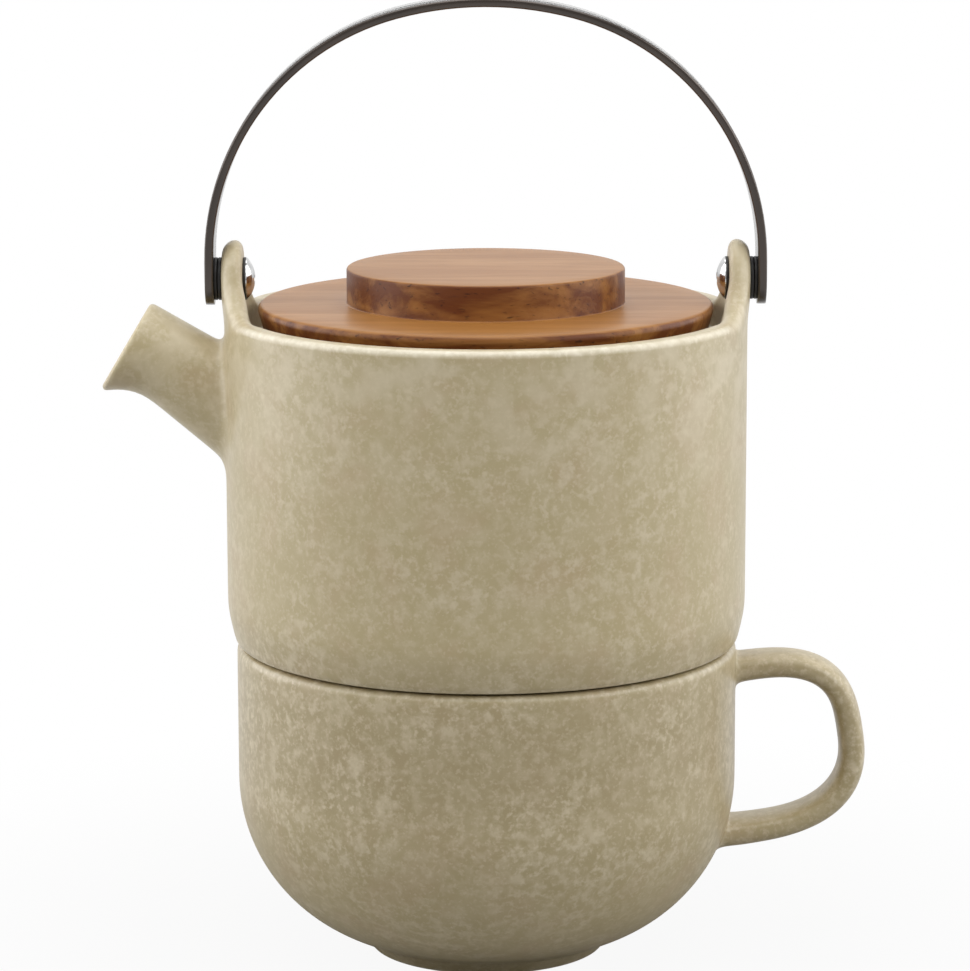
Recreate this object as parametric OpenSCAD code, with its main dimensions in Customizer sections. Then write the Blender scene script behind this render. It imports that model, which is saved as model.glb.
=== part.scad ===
// Stoneware teapot for one, stacked on its cup, with a wooden lid and a steel bail.
// The table is z = 0, the pot's axis is Z, the spout points to -X and the cup's handle to +X.

/* [Cup] */
// Outer radius of the cup's wall
cup_r = 58; // [54:0.5:62]
// Height of the drinking rim above the table
cup_h = 73; // [66:0.5:84]
// Thickness of the cup's wall
cup_wall = 4; // [3.4:0.1:5]
// Radius of the bowl's rounded lower part
bowl_r = 39.2; // [34:0.2:42]
// Thickness of the cup's floor
cup_floor = 4; // [3:0.25:6]
// Outer radius of the foot ring at the bowl
foot_r = 28; // [24:0.5:32]
// Height of the foot ring's outer side
foot_h = 3.6; // [2.8:0.1:5]
// Width of the foot ring's standing face
foot_w = 4; // [3:0.25:6]

/* [Cup handle] */
// Reach of the handle's centre line from its middle point
grip_reach = 24.3; // [21:0.1:28]
// Half the height of the handle's loop
grip_rise = 19.2; // [17:0.1:21]
// Height of the loop's middle point
grip_z = 46.6; // [44:0.2:49]
// Upward tilt of the loop
grip_tilt = 8.7; // [5:0.1:11]
// Thickness of the strap
grip_t = 6; // [5:0.25:7]
// Width of the strap
grip_w = 13; // [10:0.5:16]

/* [Pot] */
// Outer radius of the pot's wall
pot_r = 60; // [57:0.5:64]
// Height of the pot from its seat on the cup to its rim
pot_h = 77.2; // [72:0.2:90]
// Thickness of the pot's rim
rim_wall = 5; // [4.4:0.1:5.6]
// Thickness of the pot's wall below the gallery
pot_wall = 4.6; // [4:0.1:6]
// Thickness of the pot's floor
pot_floor = 5; // [4:0.25:7]
// Height of the drawn-in lower edge
taper_h = 8.5; // [5:0.25:14]
// Slope of the drawn-in lower edge from upright
taper_slope = 12; // [6:0.5:18]
// Depth of the ring that drops into the cup's mouth
ring_h = 5; // [3:0.25:9]
// Thickness of that ring
ring_w = 4; // [3:0.25:6]
// Radial play of that ring in the cup's mouth
ring_play = 0.8; // [0.4:0.1:1.2]
// Depth of the gallery below the rim
gallery_drop = 6.7; // [5:0.1:9]
// Thickness of the gallery
gallery_t = 4; // [3:0.25:5]

/* [Spout] */
// Depth of the spout's axis at the wall, below the pot's rim
spout_drop = 20.9; // [19.2:0.1:27.2]
// Angle of the axis above the table's plane
spout_angle = 35; // [28:0.5:40]
// Length of the axis from the wall to the mouth
spout_len = 26.1; // [20:0.1:32]
// Outer radius at the wall
spout_root_r = 10.9; // [9.5:0.1:12]
// Outer radius at the mouth, without the lip
spout_mouth_r = 8.6; // [7.5:0.1:9.5]
// Thickness of the spout's wall
spout_wall = 2.6; // [2:0.1:3.2]
// Tilt of the mouth's plane, upper edge outwards
mouth_tilt = 7.4; // [0:0.2:12]
// How far the pouring lip swings out below
lip_flare = 4.6; // [2:0.1:6]
// Length of the pouring lip along the spout
lip_len = 12.7; // [9:0.1:16]
// Radius of the fillet at the wall
spout_fillet = 3; // [1.5:0.25:4]

/* [Ears and bail] */
// Height of the pivot above the rim
pivot_rise = 7.5; // [6.5:0.1:9]
// Radius of the ear's round top
ear_r = 9; // [8:0.25:10]
// Radius of the sweep from the ear down to the rim
ear_sweep = 16; // [12:0.5:24]
// Height of the ear's rounded crest
ear_crest = 3; // [2:0.1:3.5]
// How far the flat pad outside the ear stands proud of the wall
pad_proud = 0.4; // [0.2:0.05:0.6]
// Width of the steel strip
strip_w = 12; // [11:0.25:14]
// Thickness of the steel strip
strip_t = 2; // [1.6:0.1:2.4]
// Height above the pivot where the legs start to bend
leg_h = 4.7; // [3:0.1:6]
// Distance of the side bends' centres from the middle
haunch_in = 5.2; // [3:0.1:12]
// Height of the bail's top above the tops of the side bends
crown_lift = 0.7; // [0.4:0.05:16.4]

/* [Pivots] */
// Radius of the screw's shank
shank_r = 2; // [1.6:0.1:2.2]
// Radial running play of the shank in its bush
pivot_play = 0.05; // [0.03:0.01:0.09]
// Outer radius of the bush's sleeve
sleeve_r = 3.2; // [3:0.1:3.6]
// Radius of the washers and of the bush's flange
washer_r = 4.9; // [4.4:0.1:5.2]
// Thickness of the bush's flange
flange_t = 0.85; // [0.7:0.05:1.2]
// Thickness of the washers
washer_t = 0.75; // [0.6:0.05:1.2]
// Play along the pivot between turning and fixed faces
side_play = 0.1; // [0.05:0.01:0.15]
// Radius of the screw's head
head_r = 4.9; // [4.4:0.1:5.2]
// Height of the screw's head
head_h = 1.9; // [1.5:0.1:2]
// Width across the flats of the head's hexagon socket
socket_w = 2.5; // [2:0.1:3]

/* [Lid] */
// Gap between the lid's disc and the pot's rim
lid_gap = 2.8; // [2.8:0.1:5]
// Thickness of the disc
lid_t = 8; // [6.5:0.1:8]
// Radius of the disc's top edge
lid_edge = 1.8; // [0.8:0.1:2.5]
// Radius of the knob
knob_r = 31.9; // [26:0.1:36]
// Height of the knob
knob_h = 8.1; // [6:0.1:14]
// Radius of the knob's top edge
knob_edge = 0.6; // [0.3:0.1:1.5]
// Depth of the plug below the disc
plug_h = 9; // [7:0.25:12]
// Thickness of the soft ring in the plug's groove
seal_t = 3; // [2.2:0.1:3.6]

/* [Infuser] */
// Width of the gallery, from the rim's inside to its opening
gallery_w = 12.2; // [11:0.1:16]
// Depth of the basket below the gallery
basket_h = 50; // [40:0.5:54]
// Thickness of the basket's steel
basket_t = 0.6; // [0.5:0.1:1]
// Gap between the basket's flange and the pot's rim
flange_gap = 3.6; // [3:0.1:5]
// Radius of the strainer's holes
hole_r = 0.9; // [0.6:0.1:1.1]
// Rows of holes in the basket's side
hole_rows = 5; // [2:1:7]
// Holes in each row
holes_round = 32; // [16:2:36]

/* [Hidden] */
$fn = 96;

stoneware = "#b5ab8c";
teak = "#a9683a";
bronze = "#4a3a30";
steel = "#c8c8c8";
black = "#1c1b1a";
soft_white = "#e6e2d8";

// Cup
lip_edge = 1.6;
bowl_x = cup_r - bowl_r;
bowl_z = foot_h + sqrt(pow(bowl_r, 2) - pow(foot_r - bowl_x, 2));
foot_draft = 1.2;
foot_bottom_r = foot_r - foot_draft;
hollow_r = bowl_r - cup_floor;
mouth_r = cup_r - cup_wall;

// Pot
seat_z = cup_h;
rim_z = seat_z + pot_h;
rim_in = pot_r - rim_wall;
rim_edge = 1.6;
ring_r = mouth_r - ring_play;
taper_in = taper_h * tan(taper_slope);
taper_blend = 24;
skirt_edge = 0.7;
skirt_r = pot_r - taper_in;
base_t = 2;
base_r = max(skirt_r - skirt_edge, mouth_r + cup_wall / 2);
hollow_corner = 8;
gallery_z = rim_z - gallery_drop;
basket_play = 0.8;

// Spout
spout_z = rim_z - spout_drop;
spout_dir = [-cos(spout_angle), 0, sin(spout_angle)];
spout_down = [-sin(spout_angle), 0, -cos(spout_angle)];
spout_slim = (spout_mouth_r - spout_root_r) / spout_len;
mouth_lean = -tan(mouth_tilt);
lip_curve = 2.5;
lip_round = 0.9;

// Pivot, from the ear outwards and inwards
pivot_z = rim_z + pivot_rise;
pad_x = pot_r + pad_proud;
pad_t = 4.85;
seat_x = pad_x - pad_t;
pad_margin = 0.7;
pad_r = washer_r + pad_margin;
flange_x = pad_x + flange_t;
outer_washer_x = flange_x + side_play;
strip_x = outer_washer_x + washer_t;
inner_washer_x = seat_x - washer_t;
head_x = inner_washer_x - side_play;
sleeve_play = 0.05;
thread_play = 0.05;
end_relief = 0.15;

// Bail, two bends on the legs and one wide bend between them
bail_x = strip_x + strip_t;
haunch_r = bail_x - haunch_in;
haunch_z = pivot_z + leg_h;
crown_gap = haunch_r + crown_lift;
bail_z = haunch_z + crown_gap;
crown_r = (pow(haunch_in, 2) + pow(crown_gap, 2) - pow(haunch_r, 2)) / (2 * crown_lift);
crown_z = bail_z - crown_r;
haunch_angle = atan2(haunch_z - crown_z, haunch_in);

// Lid and basket
hole_low = 4;
plain_top = 12;
basket_flange_t = 0.8;
lid_z = gallery_z + basket_flange_t;
basket_r = rim_in - gallery_w - basket_play;
basket_in = basket_r - basket_t;
flange_r = rim_in - flange_gap;
lid_r = rim_in - lid_gap;
plug_play = 1.4;
plug_r = basket_in - plug_play;
groove_d = 2;
seal_lip = 0.15;
seal_drop = 0.5;
seal_z = lid_z - plug_h / 2 - seal_drop;
basket_z = gallery_z - basket_h;
knob_fillet = 1;

// A ring turned about Z, given as its inner and outer radius and its two heights.
module ring(r_in, r_out, z_low, z_high) {
    rotate_extrude()
        translate([r_in, z_low])
            square([r_out - r_in, z_high - z_low]);
}

// A piece made along +X is put on the +X or the -X side.
module on_side(side) {
    rotate([0, 0, side > 0 ? 0 : 180])
        children();
}

// A disc or rod along X at the pivot's height, from x_low to x_high.
module pivot_rod(r, x_low, x_high) {
    translate([x_low, 0, pivot_z])
        rotate([0, 90, 0])
            cylinder(r = r, h = x_high - x_low);
}

// Skin of a closed loft: each ring is a list of points, all rings equally long.
module loft(rings) {
    count = len(rings[0]);
    last = len(rings) - 1;
    points = [for (ring = rings) each ring];
    sides = [for (k = [0:last - 1], j = [0:count - 1])
        each [
            [k * count + j, k * count + (j + 1) % count, (k + 1) * count + j],
            [k * count + (j + 1) % count, (k + 1) * count + (j + 1) % count, (k + 1) * count + j]
        ]];
    start = [for (j = [1:count - 2]) [0, j + 1, j]];
    end = [for (j = [1:count - 2]) [last * count, last * count + j, last * count + j + 1]];
    polyhedron(points = points, faces = concat(sides, start, end), convexity = 6);
}

// Wall with two rounded upper corners, in the turning plane.
module wall_2d(r_in, r_out, z_low, z_top, edge) {
    translate([r_in, z_low])
        square([r_out - r_in, z_top - edge - z_low]);
    translate([r_in + edge, z_low])
        square([r_out - r_in - 2 * edge, z_top - z_low]);
    translate([r_in + edge, z_top - edge])
        circle(r = edge, $fn = 48);
    translate([r_out - edge, z_top - edge])
        circle(r = edge, $fn = 48);
}

// Bowl with an upright wall above it, in the turning plane.
module bowl_2d(r, wall_r, z_top) {
    intersection() {
        translate([bowl_x, bowl_z])
            circle(r = r, $fn = 180);
        square([cup_r, bowl_z + 1]);
    }
    translate([0, bowl_z - r])
        square([bowl_x, r]);
    translate([0, bowl_z])
        square([wall_r, z_top - bowl_z]);
}

module cup_shell() {
    rim_start = cup_h - 2 * lip_edge;
    rotate_extrude($fn = 180)
        difference() {
            union() {
                bowl_2d(bowl_r, cup_r, rim_start);
                wall_2d(mouth_r, cup_r, rim_start - 1, cup_h, lip_edge);
                polygon([
                    [foot_bottom_r - foot_w, 0],
                    [foot_bottom_r, 0],
                    [foot_r, foot_h],
                    [foot_r, foot_h + 1],
                    [foot_bottom_r - foot_w - 1, foot_h + 1]
                ]);
            }
            bowl_2d(hollow_r, mouth_r, rim_start);
            translate([0, rim_start])
                square([mouth_r, 1]);
        }
}

// Centre line of the cup's handle: a loop between a circle and a square, tilted upwards.
grip_power = 2.48;
grip_x = cup_r + 2.3;
grip_sides = 16;
function signed_pow(v, p) = sign(v) * pow(abs(v), p);
function grip_loop(a) = [
    grip_reach * signed_pow(cos(a), 2 / grip_power),
    grip_rise * signed_pow(sin(a), 2 / grip_power)
];
function grip_path(a) = let (p = grip_loop(a)) [
    grip_x + p.x * cos(grip_tilt) - p.y * sin(grip_tilt),
    grip_z + p.x * sin(grip_tilt) + p.y * cos(grip_tilt)
];
function unit(v) = v / norm(v);
function grip_way(a) = unit(grip_path(a - 0.5) - grip_path(a + 0.5));

// Strap section at one angle of the loop, thicker towards its two roots.
function grip_ring(a) = let (
    c = grip_path(a),
    way = grip_way(a),
    out = [-way.y, way.x],
    root = pow(max(0, abs(a) - 60) / 45, 2),
    half_t = grip_t / 2 * (1 + 0.28 * root),
    half_w = grip_w / 2 * (1 + 0.12 * root)
) [for (j = [0:grip_sides - 1]) let (
    b = 360 * j / grip_sides,
    t = half_t * signed_pow(cos(b), 0.75),
    w = half_w * signed_pow(sin(b), 0.75)
) [c.x + out.x * t, w, c.y + out.y * t]];

module cup_grip() {
    low = -109;
    high = 104;
    steps = 40;
    loft([for (k = [0:steps]) grip_ring(high + (low - high) * k / steps)]);
}

module cup() {
    color(stoneware)
        union() {
            cup_shell();
            cup_grip();
        }
}

// Pot's outer side, in the turning plane, with its drawn-in lower edge.
module pot_outside_2d() {
    blend_h = taper_blend * tan(taper_slope / 2);
    knee_z = seat_z + taper_h;
    wall_2d(rim_in, pot_r, gallery_z - gallery_t, rim_z, rim_edge);
    translate([0, knee_z + blend_h])
        square([pot_r, rim_z - rim_edge - 2 - knee_z - blend_h]);
    intersection() {
        translate([pot_r - taper_blend, knee_z + blend_h])
            circle(r = taper_blend, $fn = 180);
        translate([pot_r - taper_blend, knee_z - 2 * blend_h])
            square([taper_blend, 4 * blend_h]);
    }
    polygon([
        [0, seat_z],
        [skirt_r - skirt_edge, seat_z],
        [skirt_r + skirt_edge * tan(taper_slope), seat_z + skirt_edge],
        [pot_r - blend_h * sin(taper_slope), knee_z - blend_h * cos(taper_slope)],
        [pot_r - taper_blend / 2, knee_z + blend_h],
        [pot_r - taper_blend / 2, knee_z + 3 * blend_h],
        [0, knee_z + 3 * blend_h]
    ]);
    translate([0, seat_z])
        square([base_r, base_t]);
}

module pot_hollow_2d() {
    room_r = pot_r - pot_wall;
    room_top = gallery_z - gallery_t;
    floor_z = seat_z + pot_floor;
    translate([0, gallery_z])
        square([rim_in, rim_z - rim_edge - gallery_z]);
    translate([0, rim_z - rim_edge - 1])
        square([rim_in, rim_edge + 2]);
    translate([0, room_top - 1])
        square([rim_in - gallery_w, gallery_t + 2]);
    translate([0, floor_z + hollow_corner])
        square([room_r, room_top - floor_z - hollow_corner]);
    translate([0, floor_z])
        square([room_r - hollow_corner, hollow_corner + 1]);
    translate([room_r - hollow_corner, floor_z + hollow_corner])
        circle(r = hollow_corner, $fn = 96);
}

// Height of the ear's crest over the rim at a distance along the rim from the pivot.
ear_sink = 0.15;
ear_inset = 0.15;
sweep_half = sqrt(pow(ear_sweep + ear_r, 2) - pow(ear_sweep - pivot_rise - ear_sink, 2));
sweep_touch = sweep_half * ear_r / (ear_sweep + ear_r);
function ear_top(s) = abs(s) < sweep_touch
    ? pivot_z + sqrt(pow(ear_r, 2) - pow(s, 2))
    : rim_z - ear_sink + ear_sweep - sqrt(pow(ear_sweep, 2) - pow(abs(s) - sweep_half, 2));

// Upright section through the ear at a distance along the rim: a finger with a round crest.
function ear_ring(s) = let (
    a = s / (pot_r - rim_wall / 2) * 180 / PI,
    top = ear_top(s),
    mid = pot_r - rim_wall / 2,
    half = rim_wall / 2 - ear_inset,
    low = gallery_z + 1
) [
    for (p = concat(
        [[mid - half, low]],
        [for (b = [180:-18:0]) [mid + half * cos(b), top - ear_crest + ear_crest * sin(b)]],
        [[mid + half, low]]
    )) [p.x * cos(a), p.x * sin(a), p.y]
];

module ear() {
    steps = 44;
    loft([for (k = [0:steps]) ear_ring(sweep_half * (1 - 2 * k / steps))]);
}

// Spout: rings of a slim cone from the pot's wall to the tilted mouth, with a fillet and a lip.
spout_sides = 28;
function spout_out(f) = spout_down * cos(f) + [0, sin(f), 0];
function cone_r(t) = spout_root_r + spout_slim * t;
function spout_point(t, f, r) = [-pot_r, 0, spout_z] + spout_dir * t + spout_out(f) * r;

// Distance along the axis where the cone's side at angle f leaves a cylinder of radius r_wall.
function leave_wall(f, less, r_wall) = let (
    a0 = -pot_r + spout_out(f).x * (spout_root_r - less),
    a1 = spout_dir.x + spout_out(f).x * spout_slim,
    b0 = spout_out(f).y * (spout_root_r - less),
    b1 = spout_out(f).y * spout_slim,
    qa = a1 * a1 + b1 * b1,
    qb = 2 * (a0 * a1 + b0 * b1),
    qc = a0 * a0 + b0 * b0 - r_wall * r_wall
) (-qb + sqrt(qb * qb - 4 * qa * qc)) / (2 * qa);

function lip_share(f) = pow((1 + cos(f)) / 2, 2.5);
function lip_out(f, left) = lip_flare * lip_share(f) * pow(max(0, 1 - left / lip_len), lip_curve);
function fillet_out(past) = past >= spout_fillet
    ? 0
    : spout_fillet * (1 - sqrt(1 - pow(1 - max(0, past) / spout_fillet, 2)));

// Where the cone's side at angle f meets the mouth's plane.
function mouth_t(f) = (spout_len + mouth_lean * cos(f) * spout_root_r) / (1 - mouth_lean * cos(f) * spout_slim);

function spout_ring(v, less, r_wall, past_mouth) = [
    for (j = [0:spout_sides - 1]) let (
        f = 360 * j / spout_sides,
        t0 = leave_wall(f, less, r_wall),
        t1 = mouth_t(f),
        t = t0 + (t1 - t0) * v + past_mouth,
        lip = lip_out(f, t1 - t),
        foot = fillet_out(t - leave_wall(f, less, pot_r)),
        lean = mouth_lean * cos(f) * lip * v
    ) spout_point(t + lean, f, cone_r(t) - less + lip + foot * (less > spout_wall / 2 ? 0 : 1))
];

module spout_outside() {
    shares = [0, 0.02, 0.05, 0.09, 0.15, 0.25, 0.38, 0.5, 0.62, 0.73, 0.83, 0.91, 0.97];
    loft(concat(
        [spout_ring(0, 0, pot_r - pot_wall / 2, 0)],
        [for (v = shares) spout_ring(v, 0, pot_r, 0)],
        [spout_ring(1, lip_round * 0.3, pot_r, -lip_round * 0.3)],
        [spout_ring(1, lip_round, pot_r, 0)]
    ));
}

module spout_channel() {
    shares = [0, 0.2, 0.4, 0.55, 0.68, 0.8, 0.9];
    loft(concat(
        [for (v = shares) spout_ring(v, spout_wall, pot_r - pot_wall - 3, 0)],
        [spout_ring(1, spout_wall, pot_r, -lip_round)],
        [spout_ring(1, spout_wall - lip_round * 0.7, pot_r, 0.05)],
        [spout_ring(1, spout_wall - lip_round * 0.7, pot_r, 2)]
    ));
}

module pot_shell() {
    rotate_extrude($fn = 180)
        union() {
            pot_outside_2d();
            translate([ring_r - ring_w, seat_z - ring_h])
                square([ring_w, ring_h + 1]);
        }
}

module teapot_body() {
    color(stoneware)
        difference() {
            union() {
                difference() {
                    union() {
                        pot_shell();
                        spout_outside();
                    }
                    rotate_extrude($fn = 180)
                        pot_hollow_2d();
                }
                for (side = [-1, 1])
                    on_side(side) {
                        ear();
                        pivot_rod(pad_r, pad_x - pad_t + 0.5, pad_x);
                    }
            }
            spout_channel();
            for (side = [-1, 1])
                on_side(side) {
                    pivot_rod(sleeve_r + sleeve_play, seat_x - 5, pad_x + 5);
                    pivot_rod(pad_r, seat_x - 5, seat_x);
                }
        }
}

// Wooden lid, turned in one piece: knob, disc and grooved plug.
module lid() {
    disc_top = lid_z + lid_t;
    color(teak)
        rotate_extrude($fn = 180)
            difference() {
                union() {
                    translate([0, lid_z])
                        square([lid_r, lid_t - lid_edge]);
                    translate([0, disc_top - lid_edge - 1])
                        square([lid_r - lid_edge, lid_edge + 1]);
                    translate([lid_r - lid_edge, disc_top - lid_edge])
                        circle(r = lid_edge, $fn = 48);
                    translate([0, disc_top - 1])
                        square([knob_r, knob_h - knob_edge + 1]);
                    translate([0, disc_top])
                        square([knob_r - knob_edge, knob_h]);
                    translate([knob_r - knob_edge, disc_top + knob_h - knob_edge])
                        circle(r = knob_edge, $fn = 48);
                    difference() {
                        translate([knob_r - 1, disc_top - 1])
                            square([knob_fillet + 1, knob_fillet + 1]);
                        translate([knob_r + knob_fillet, disc_top + knob_fillet])
                            circle(r = knob_fillet, $fn = 48);
                    }
                    translate([0, lid_z - plug_h])
                        square([plug_r, plug_h + 1]);
                }
                translate([plug_r - groove_d, seal_z - seal_t / 2])
                    square([groove_d + 1, seal_t]);
            }
}

// Soft ring that fills the plug's groove and closes on the basket's wall.
module lid_seal() {
    bead = seal_t / 2;
    color(soft_white)
        rotate_extrude()
            intersection() {
                union() {
                    translate([plug_r - groove_d, seal_z - bead])
                        square([groove_d, seal_t]);
                    translate([basket_in - seal_lip - bead, seal_z])
                        circle(r = bead, $fn = 48);
                }
                translate([plug_r - groove_d, seal_z - bead])
                    square([basket_r, seal_t]);
            }
}

// Tea basket: flange on the gallery, straight side, strainer holes in its side and floor.
module infuser_basket() {
    pitch = (basket_h - hole_low - plain_top) / hole_rows;
    color(steel)
        difference() {
            union() {
                ring(basket_in, flange_r, gallery_z, gallery_z + basket_flange_t);
                ring(basket_in, basket_r, basket_z, gallery_z + basket_flange_t);
                translate([0, 0, basket_z])
                    cylinder(r = basket_r, h = basket_t);
            }
            for (row = [0:hole_rows - 1], k = [0:holes_round - 1])
                translate([0, 0, basket_z + hole_low + row * pitch])
                    rotate([0, 90, (k + (row % 2) / 2) * 360 / holes_round])
                        translate([0, 0, basket_in - 2])
                            cylinder(r = hole_r, h = basket_t + 4, $fn = 16);
            for (turn = [1:4], k = [0:turn * 8 - 1])
                rotate([0, 0, k * 360 / (turn * 8)])
                    translate([turn * basket_in / 4.8, 0, basket_z - 1])
                        cylinder(r = hole_r, h = basket_t + 2, $fn = 16);
        }
}

// One side of the bail's strip, seen along Y, at a depth below its outer face.
function arc(x, z, r, from, to, step) = let (n = ceil((to - from) / step)) [
    for (k = [0:n]) let (a = from + (to - from) * k / n) [x + r * cos(a), z + r * sin(a)]
];
function flipped(line) = [for (k = [len(line) - 1:-1:0]) [-line[k].x, line[k].y]];
function reversed(line) = [for (k = [len(line) - 1:-1:0]) line[k]];
function strip_side(depth) = let (
    haunch = arc(haunch_in, haunch_z, haunch_r - depth, 0, haunch_angle - 1, 3),
    crown = arc(0, crown_z, crown_r - depth, haunch_angle, 180 - haunch_angle, 2.5),
    leg = [[bail_x - depth, pivot_z]]
) concat(leg, haunch, crown, flipped(haunch), flipped(leg));

module handle_strip() {
    color(bronze)
        difference() {
            union() {
                rotate([90, 0, 0])
                    linear_extrude(height = strip_w, center = true)
                        polygon(concat(strip_side(0), reversed(strip_side(strip_t))));
                for (side = [-1, 1])
                    on_side(side)
                        pivot_rod(strip_w / 2, strip_x, bail_x);
            }
            for (side = [-1, 1])
                on_side(side)
                    pivot_rod(shank_r + thread_play, strip_x - 1, bail_x + 1);
        }
}

// Domed screw: its head is inside the ear, its end is level with the strip.
module handle_screw(side) {
    ball_r = (pow(head_r, 2) + pow(head_h, 2)) / (2 * head_h);
    color(steel)
        on_side(side)
            difference() {
                union() {
                    intersection() {
                        translate([head_x - head_h + ball_r, 0, pivot_z])
                            rotate([0, 90, 0])
                                sphere(r = ball_r, $fn = 120);
                        pivot_rod(head_r, head_x - head_h, head_x);
                    }
                    pivot_rod(shank_r, head_x - 0.5, bail_x - end_relief);
                }
                translate([head_x - head_h - 1, 0, pivot_z])
                    rotate([0, 90, 0])
                        cylinder(d = socket_w / cos(30), h = head_h, $fn = 6);
            }
}

module pivot_bush(side) {
    color(black)
        on_side(side)
            difference() {
                union() {
                    pivot_rod(sleeve_r, seat_x, pad_x + flange_t / 2);
                    pivot_rod(washer_r, pad_x, flange_x);
                }
                pivot_rod(shank_r + pivot_play, seat_x - 1, flange_x + 1);
            }
}

module pivot_washer(side, x) {
    color(black)
        on_side(side)
            difference() {
                pivot_rod(washer_r, x, x + washer_t);
                pivot_rod(shank_r + pivot_play, x - 1, x + washer_t + 1);
            }
}

cup();
teapot_body();
lid();
lid_seal();
infuser_basket();
handle_strip();
handle_screw(-1);  // handle_screw_left
handle_screw(1);  // handle_screw_right
pivot_bush(-1);  // pivot_bush_left
pivot_bush(1);  // pivot_bush_right
pivot_washer(-1, outer_washer_x);  // outer_washer_left
pivot_washer(1, outer_washer_x);  // outer_washer_right
pivot_washer(-1, inner_washer_x);  // inner_washer_left
pivot_washer(1, inner_washer_x);  // inner_washer_right
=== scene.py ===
"""Stoneware teapot for one, stacked on its cup, with a turned wooden lid and a flat steel bail."""

import math

import bmesh
import bpy
from bpy.props import FloatProperty, FloatVectorProperty, PointerProperty
from mathutils import Matrix, Vector


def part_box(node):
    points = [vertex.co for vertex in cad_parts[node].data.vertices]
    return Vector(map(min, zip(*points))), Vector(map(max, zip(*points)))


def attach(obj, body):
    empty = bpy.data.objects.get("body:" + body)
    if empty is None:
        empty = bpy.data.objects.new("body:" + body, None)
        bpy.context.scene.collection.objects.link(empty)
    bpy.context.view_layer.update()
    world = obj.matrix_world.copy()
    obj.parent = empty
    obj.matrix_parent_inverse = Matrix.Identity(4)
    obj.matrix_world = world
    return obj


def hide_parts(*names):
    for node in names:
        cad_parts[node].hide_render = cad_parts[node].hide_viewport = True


bl_info = {
    "name": "Stacking Teapot and Cup",
    "version": (1, 0, 0),
    "blender": (4, 5, 0),
    "location": "3D View > Sidebar > Teapot",
    "description": "Models a glazed stoneware teapot for one on its cup",
    "category": "Add Mesh",
}

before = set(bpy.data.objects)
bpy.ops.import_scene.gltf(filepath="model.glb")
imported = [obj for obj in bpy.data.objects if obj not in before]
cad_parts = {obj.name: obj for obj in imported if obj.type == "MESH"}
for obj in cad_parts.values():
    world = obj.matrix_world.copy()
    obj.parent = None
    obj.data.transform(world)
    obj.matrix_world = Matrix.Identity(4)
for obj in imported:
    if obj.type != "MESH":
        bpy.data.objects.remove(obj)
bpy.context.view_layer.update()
MM = 0.001
SAME_SPOT = 0.002 * MM
ON_PLANE = 0.01 * MM
POT_BODY = "pot_and_cup"
BAIL_BODY = "bail"
POT_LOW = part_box("teapot_body")[0]
CUP_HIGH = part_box("cup")[1]
LID_LOW, LID_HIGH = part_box("lid")
STRIP_LOW, STRIP_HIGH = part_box("handle_strip")
SCREW_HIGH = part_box("handle_screw_right")[1]


def length(name, default, text):
    """A length that a user can change, in metres."""
    return FloatProperty(name=name, description=text, default=default, unit="LENGTH", subtype="DISTANCE")


def degrees(name, default, text):
    """An angle that a user can change, given in degrees."""
    return FloatProperty(name=name, description=text, default=math.radians(default), subtype="ANGLE")


def amount(name, default, text):
    """A plain number that a user can change."""
    return FloatProperty(name=name, description=text, default=default)


def colour(name, red, green, blue, text):
    """A colour that a user can change, given as it looks on a screen, 0 to 255."""
    return FloatVectorProperty(
        name=name, description=text, size=4, subtype="COLOR", min=0, max=1,
        default=(linear(red), linear(green), linear(blue), 1),
    )


def linear(level):
    """Light of a screen level from 0 to 255."""
    share = level / 255
    return share / 12.92 if share <= 0.04045 else ((share + 0.055) / 1.055) ** 2.4


class PotSizes(bpy.types.PropertyGroup):
    radius: length("Radius", 60 * MM, "Outer radius of the pot's wall")
    seat: length("Seat", CUP_HIGH.z, "Height of the pot's seat on the cup")
    rim: length("Rim", CUP_HIGH.z + 77.2 * MM, "Height of the pot's rim")
    rim_wall: length("Rim wall", 5 * MM, "Thickness of the rim")
    room: length("Room", 55.4 * MM, "Radius of the room inside")
    taper_h: length("Drawn edge", 8.5 * MM, "Height of the drawn-in lower edge")
    skirt: length("Skirt", 58.19 * MM, "Radius of the lower edge")
    shadow: length("Shadow gap", 0.45 * MM, "Height of the open gap above the cup's rim")
    ring_out: length("Ring", 53.2 * MM, "Outer radius of the ring in the cup's mouth")
    ring_w: length("Ring width", 4 * MM, "Thickness of that ring")
    gallery: length("Gallery", 6.7 * MM, "Depth of the gallery below the rim")
    gallery_t: length("Gallery thickness", 4 * MM, "Thickness of the gallery")
    gallery_in: length("Gallery opening", 42.8 * MM, "Radius of the gallery's opening")
    floor: length("Floor", 5 * MM, "Thickness of the pot's floor")
    pivot: length("Pivot", 7.5 * MM, "Height of the pivot above the rim")
    ear: length("Ear", 9 * MM, "Radius of the ear's round top")
    sweep: length("Ear sweep", 13.5 * MM, "Radius from the ear down to the rim")
    crest: length("Ear crest", 3 * MM, "Height of the ear's rounded crest")
    pad: length("Pad", 60.4 * MM, "Distance of the ear's outer flat from the axis")
    inner_pad: length("Inner pad", 55.55 * MM, "Distance of the ear's inner flat from the axis")
    bore: length("Bush hole", 3.25 * MM, "Radius of the hole for the bush")


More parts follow.
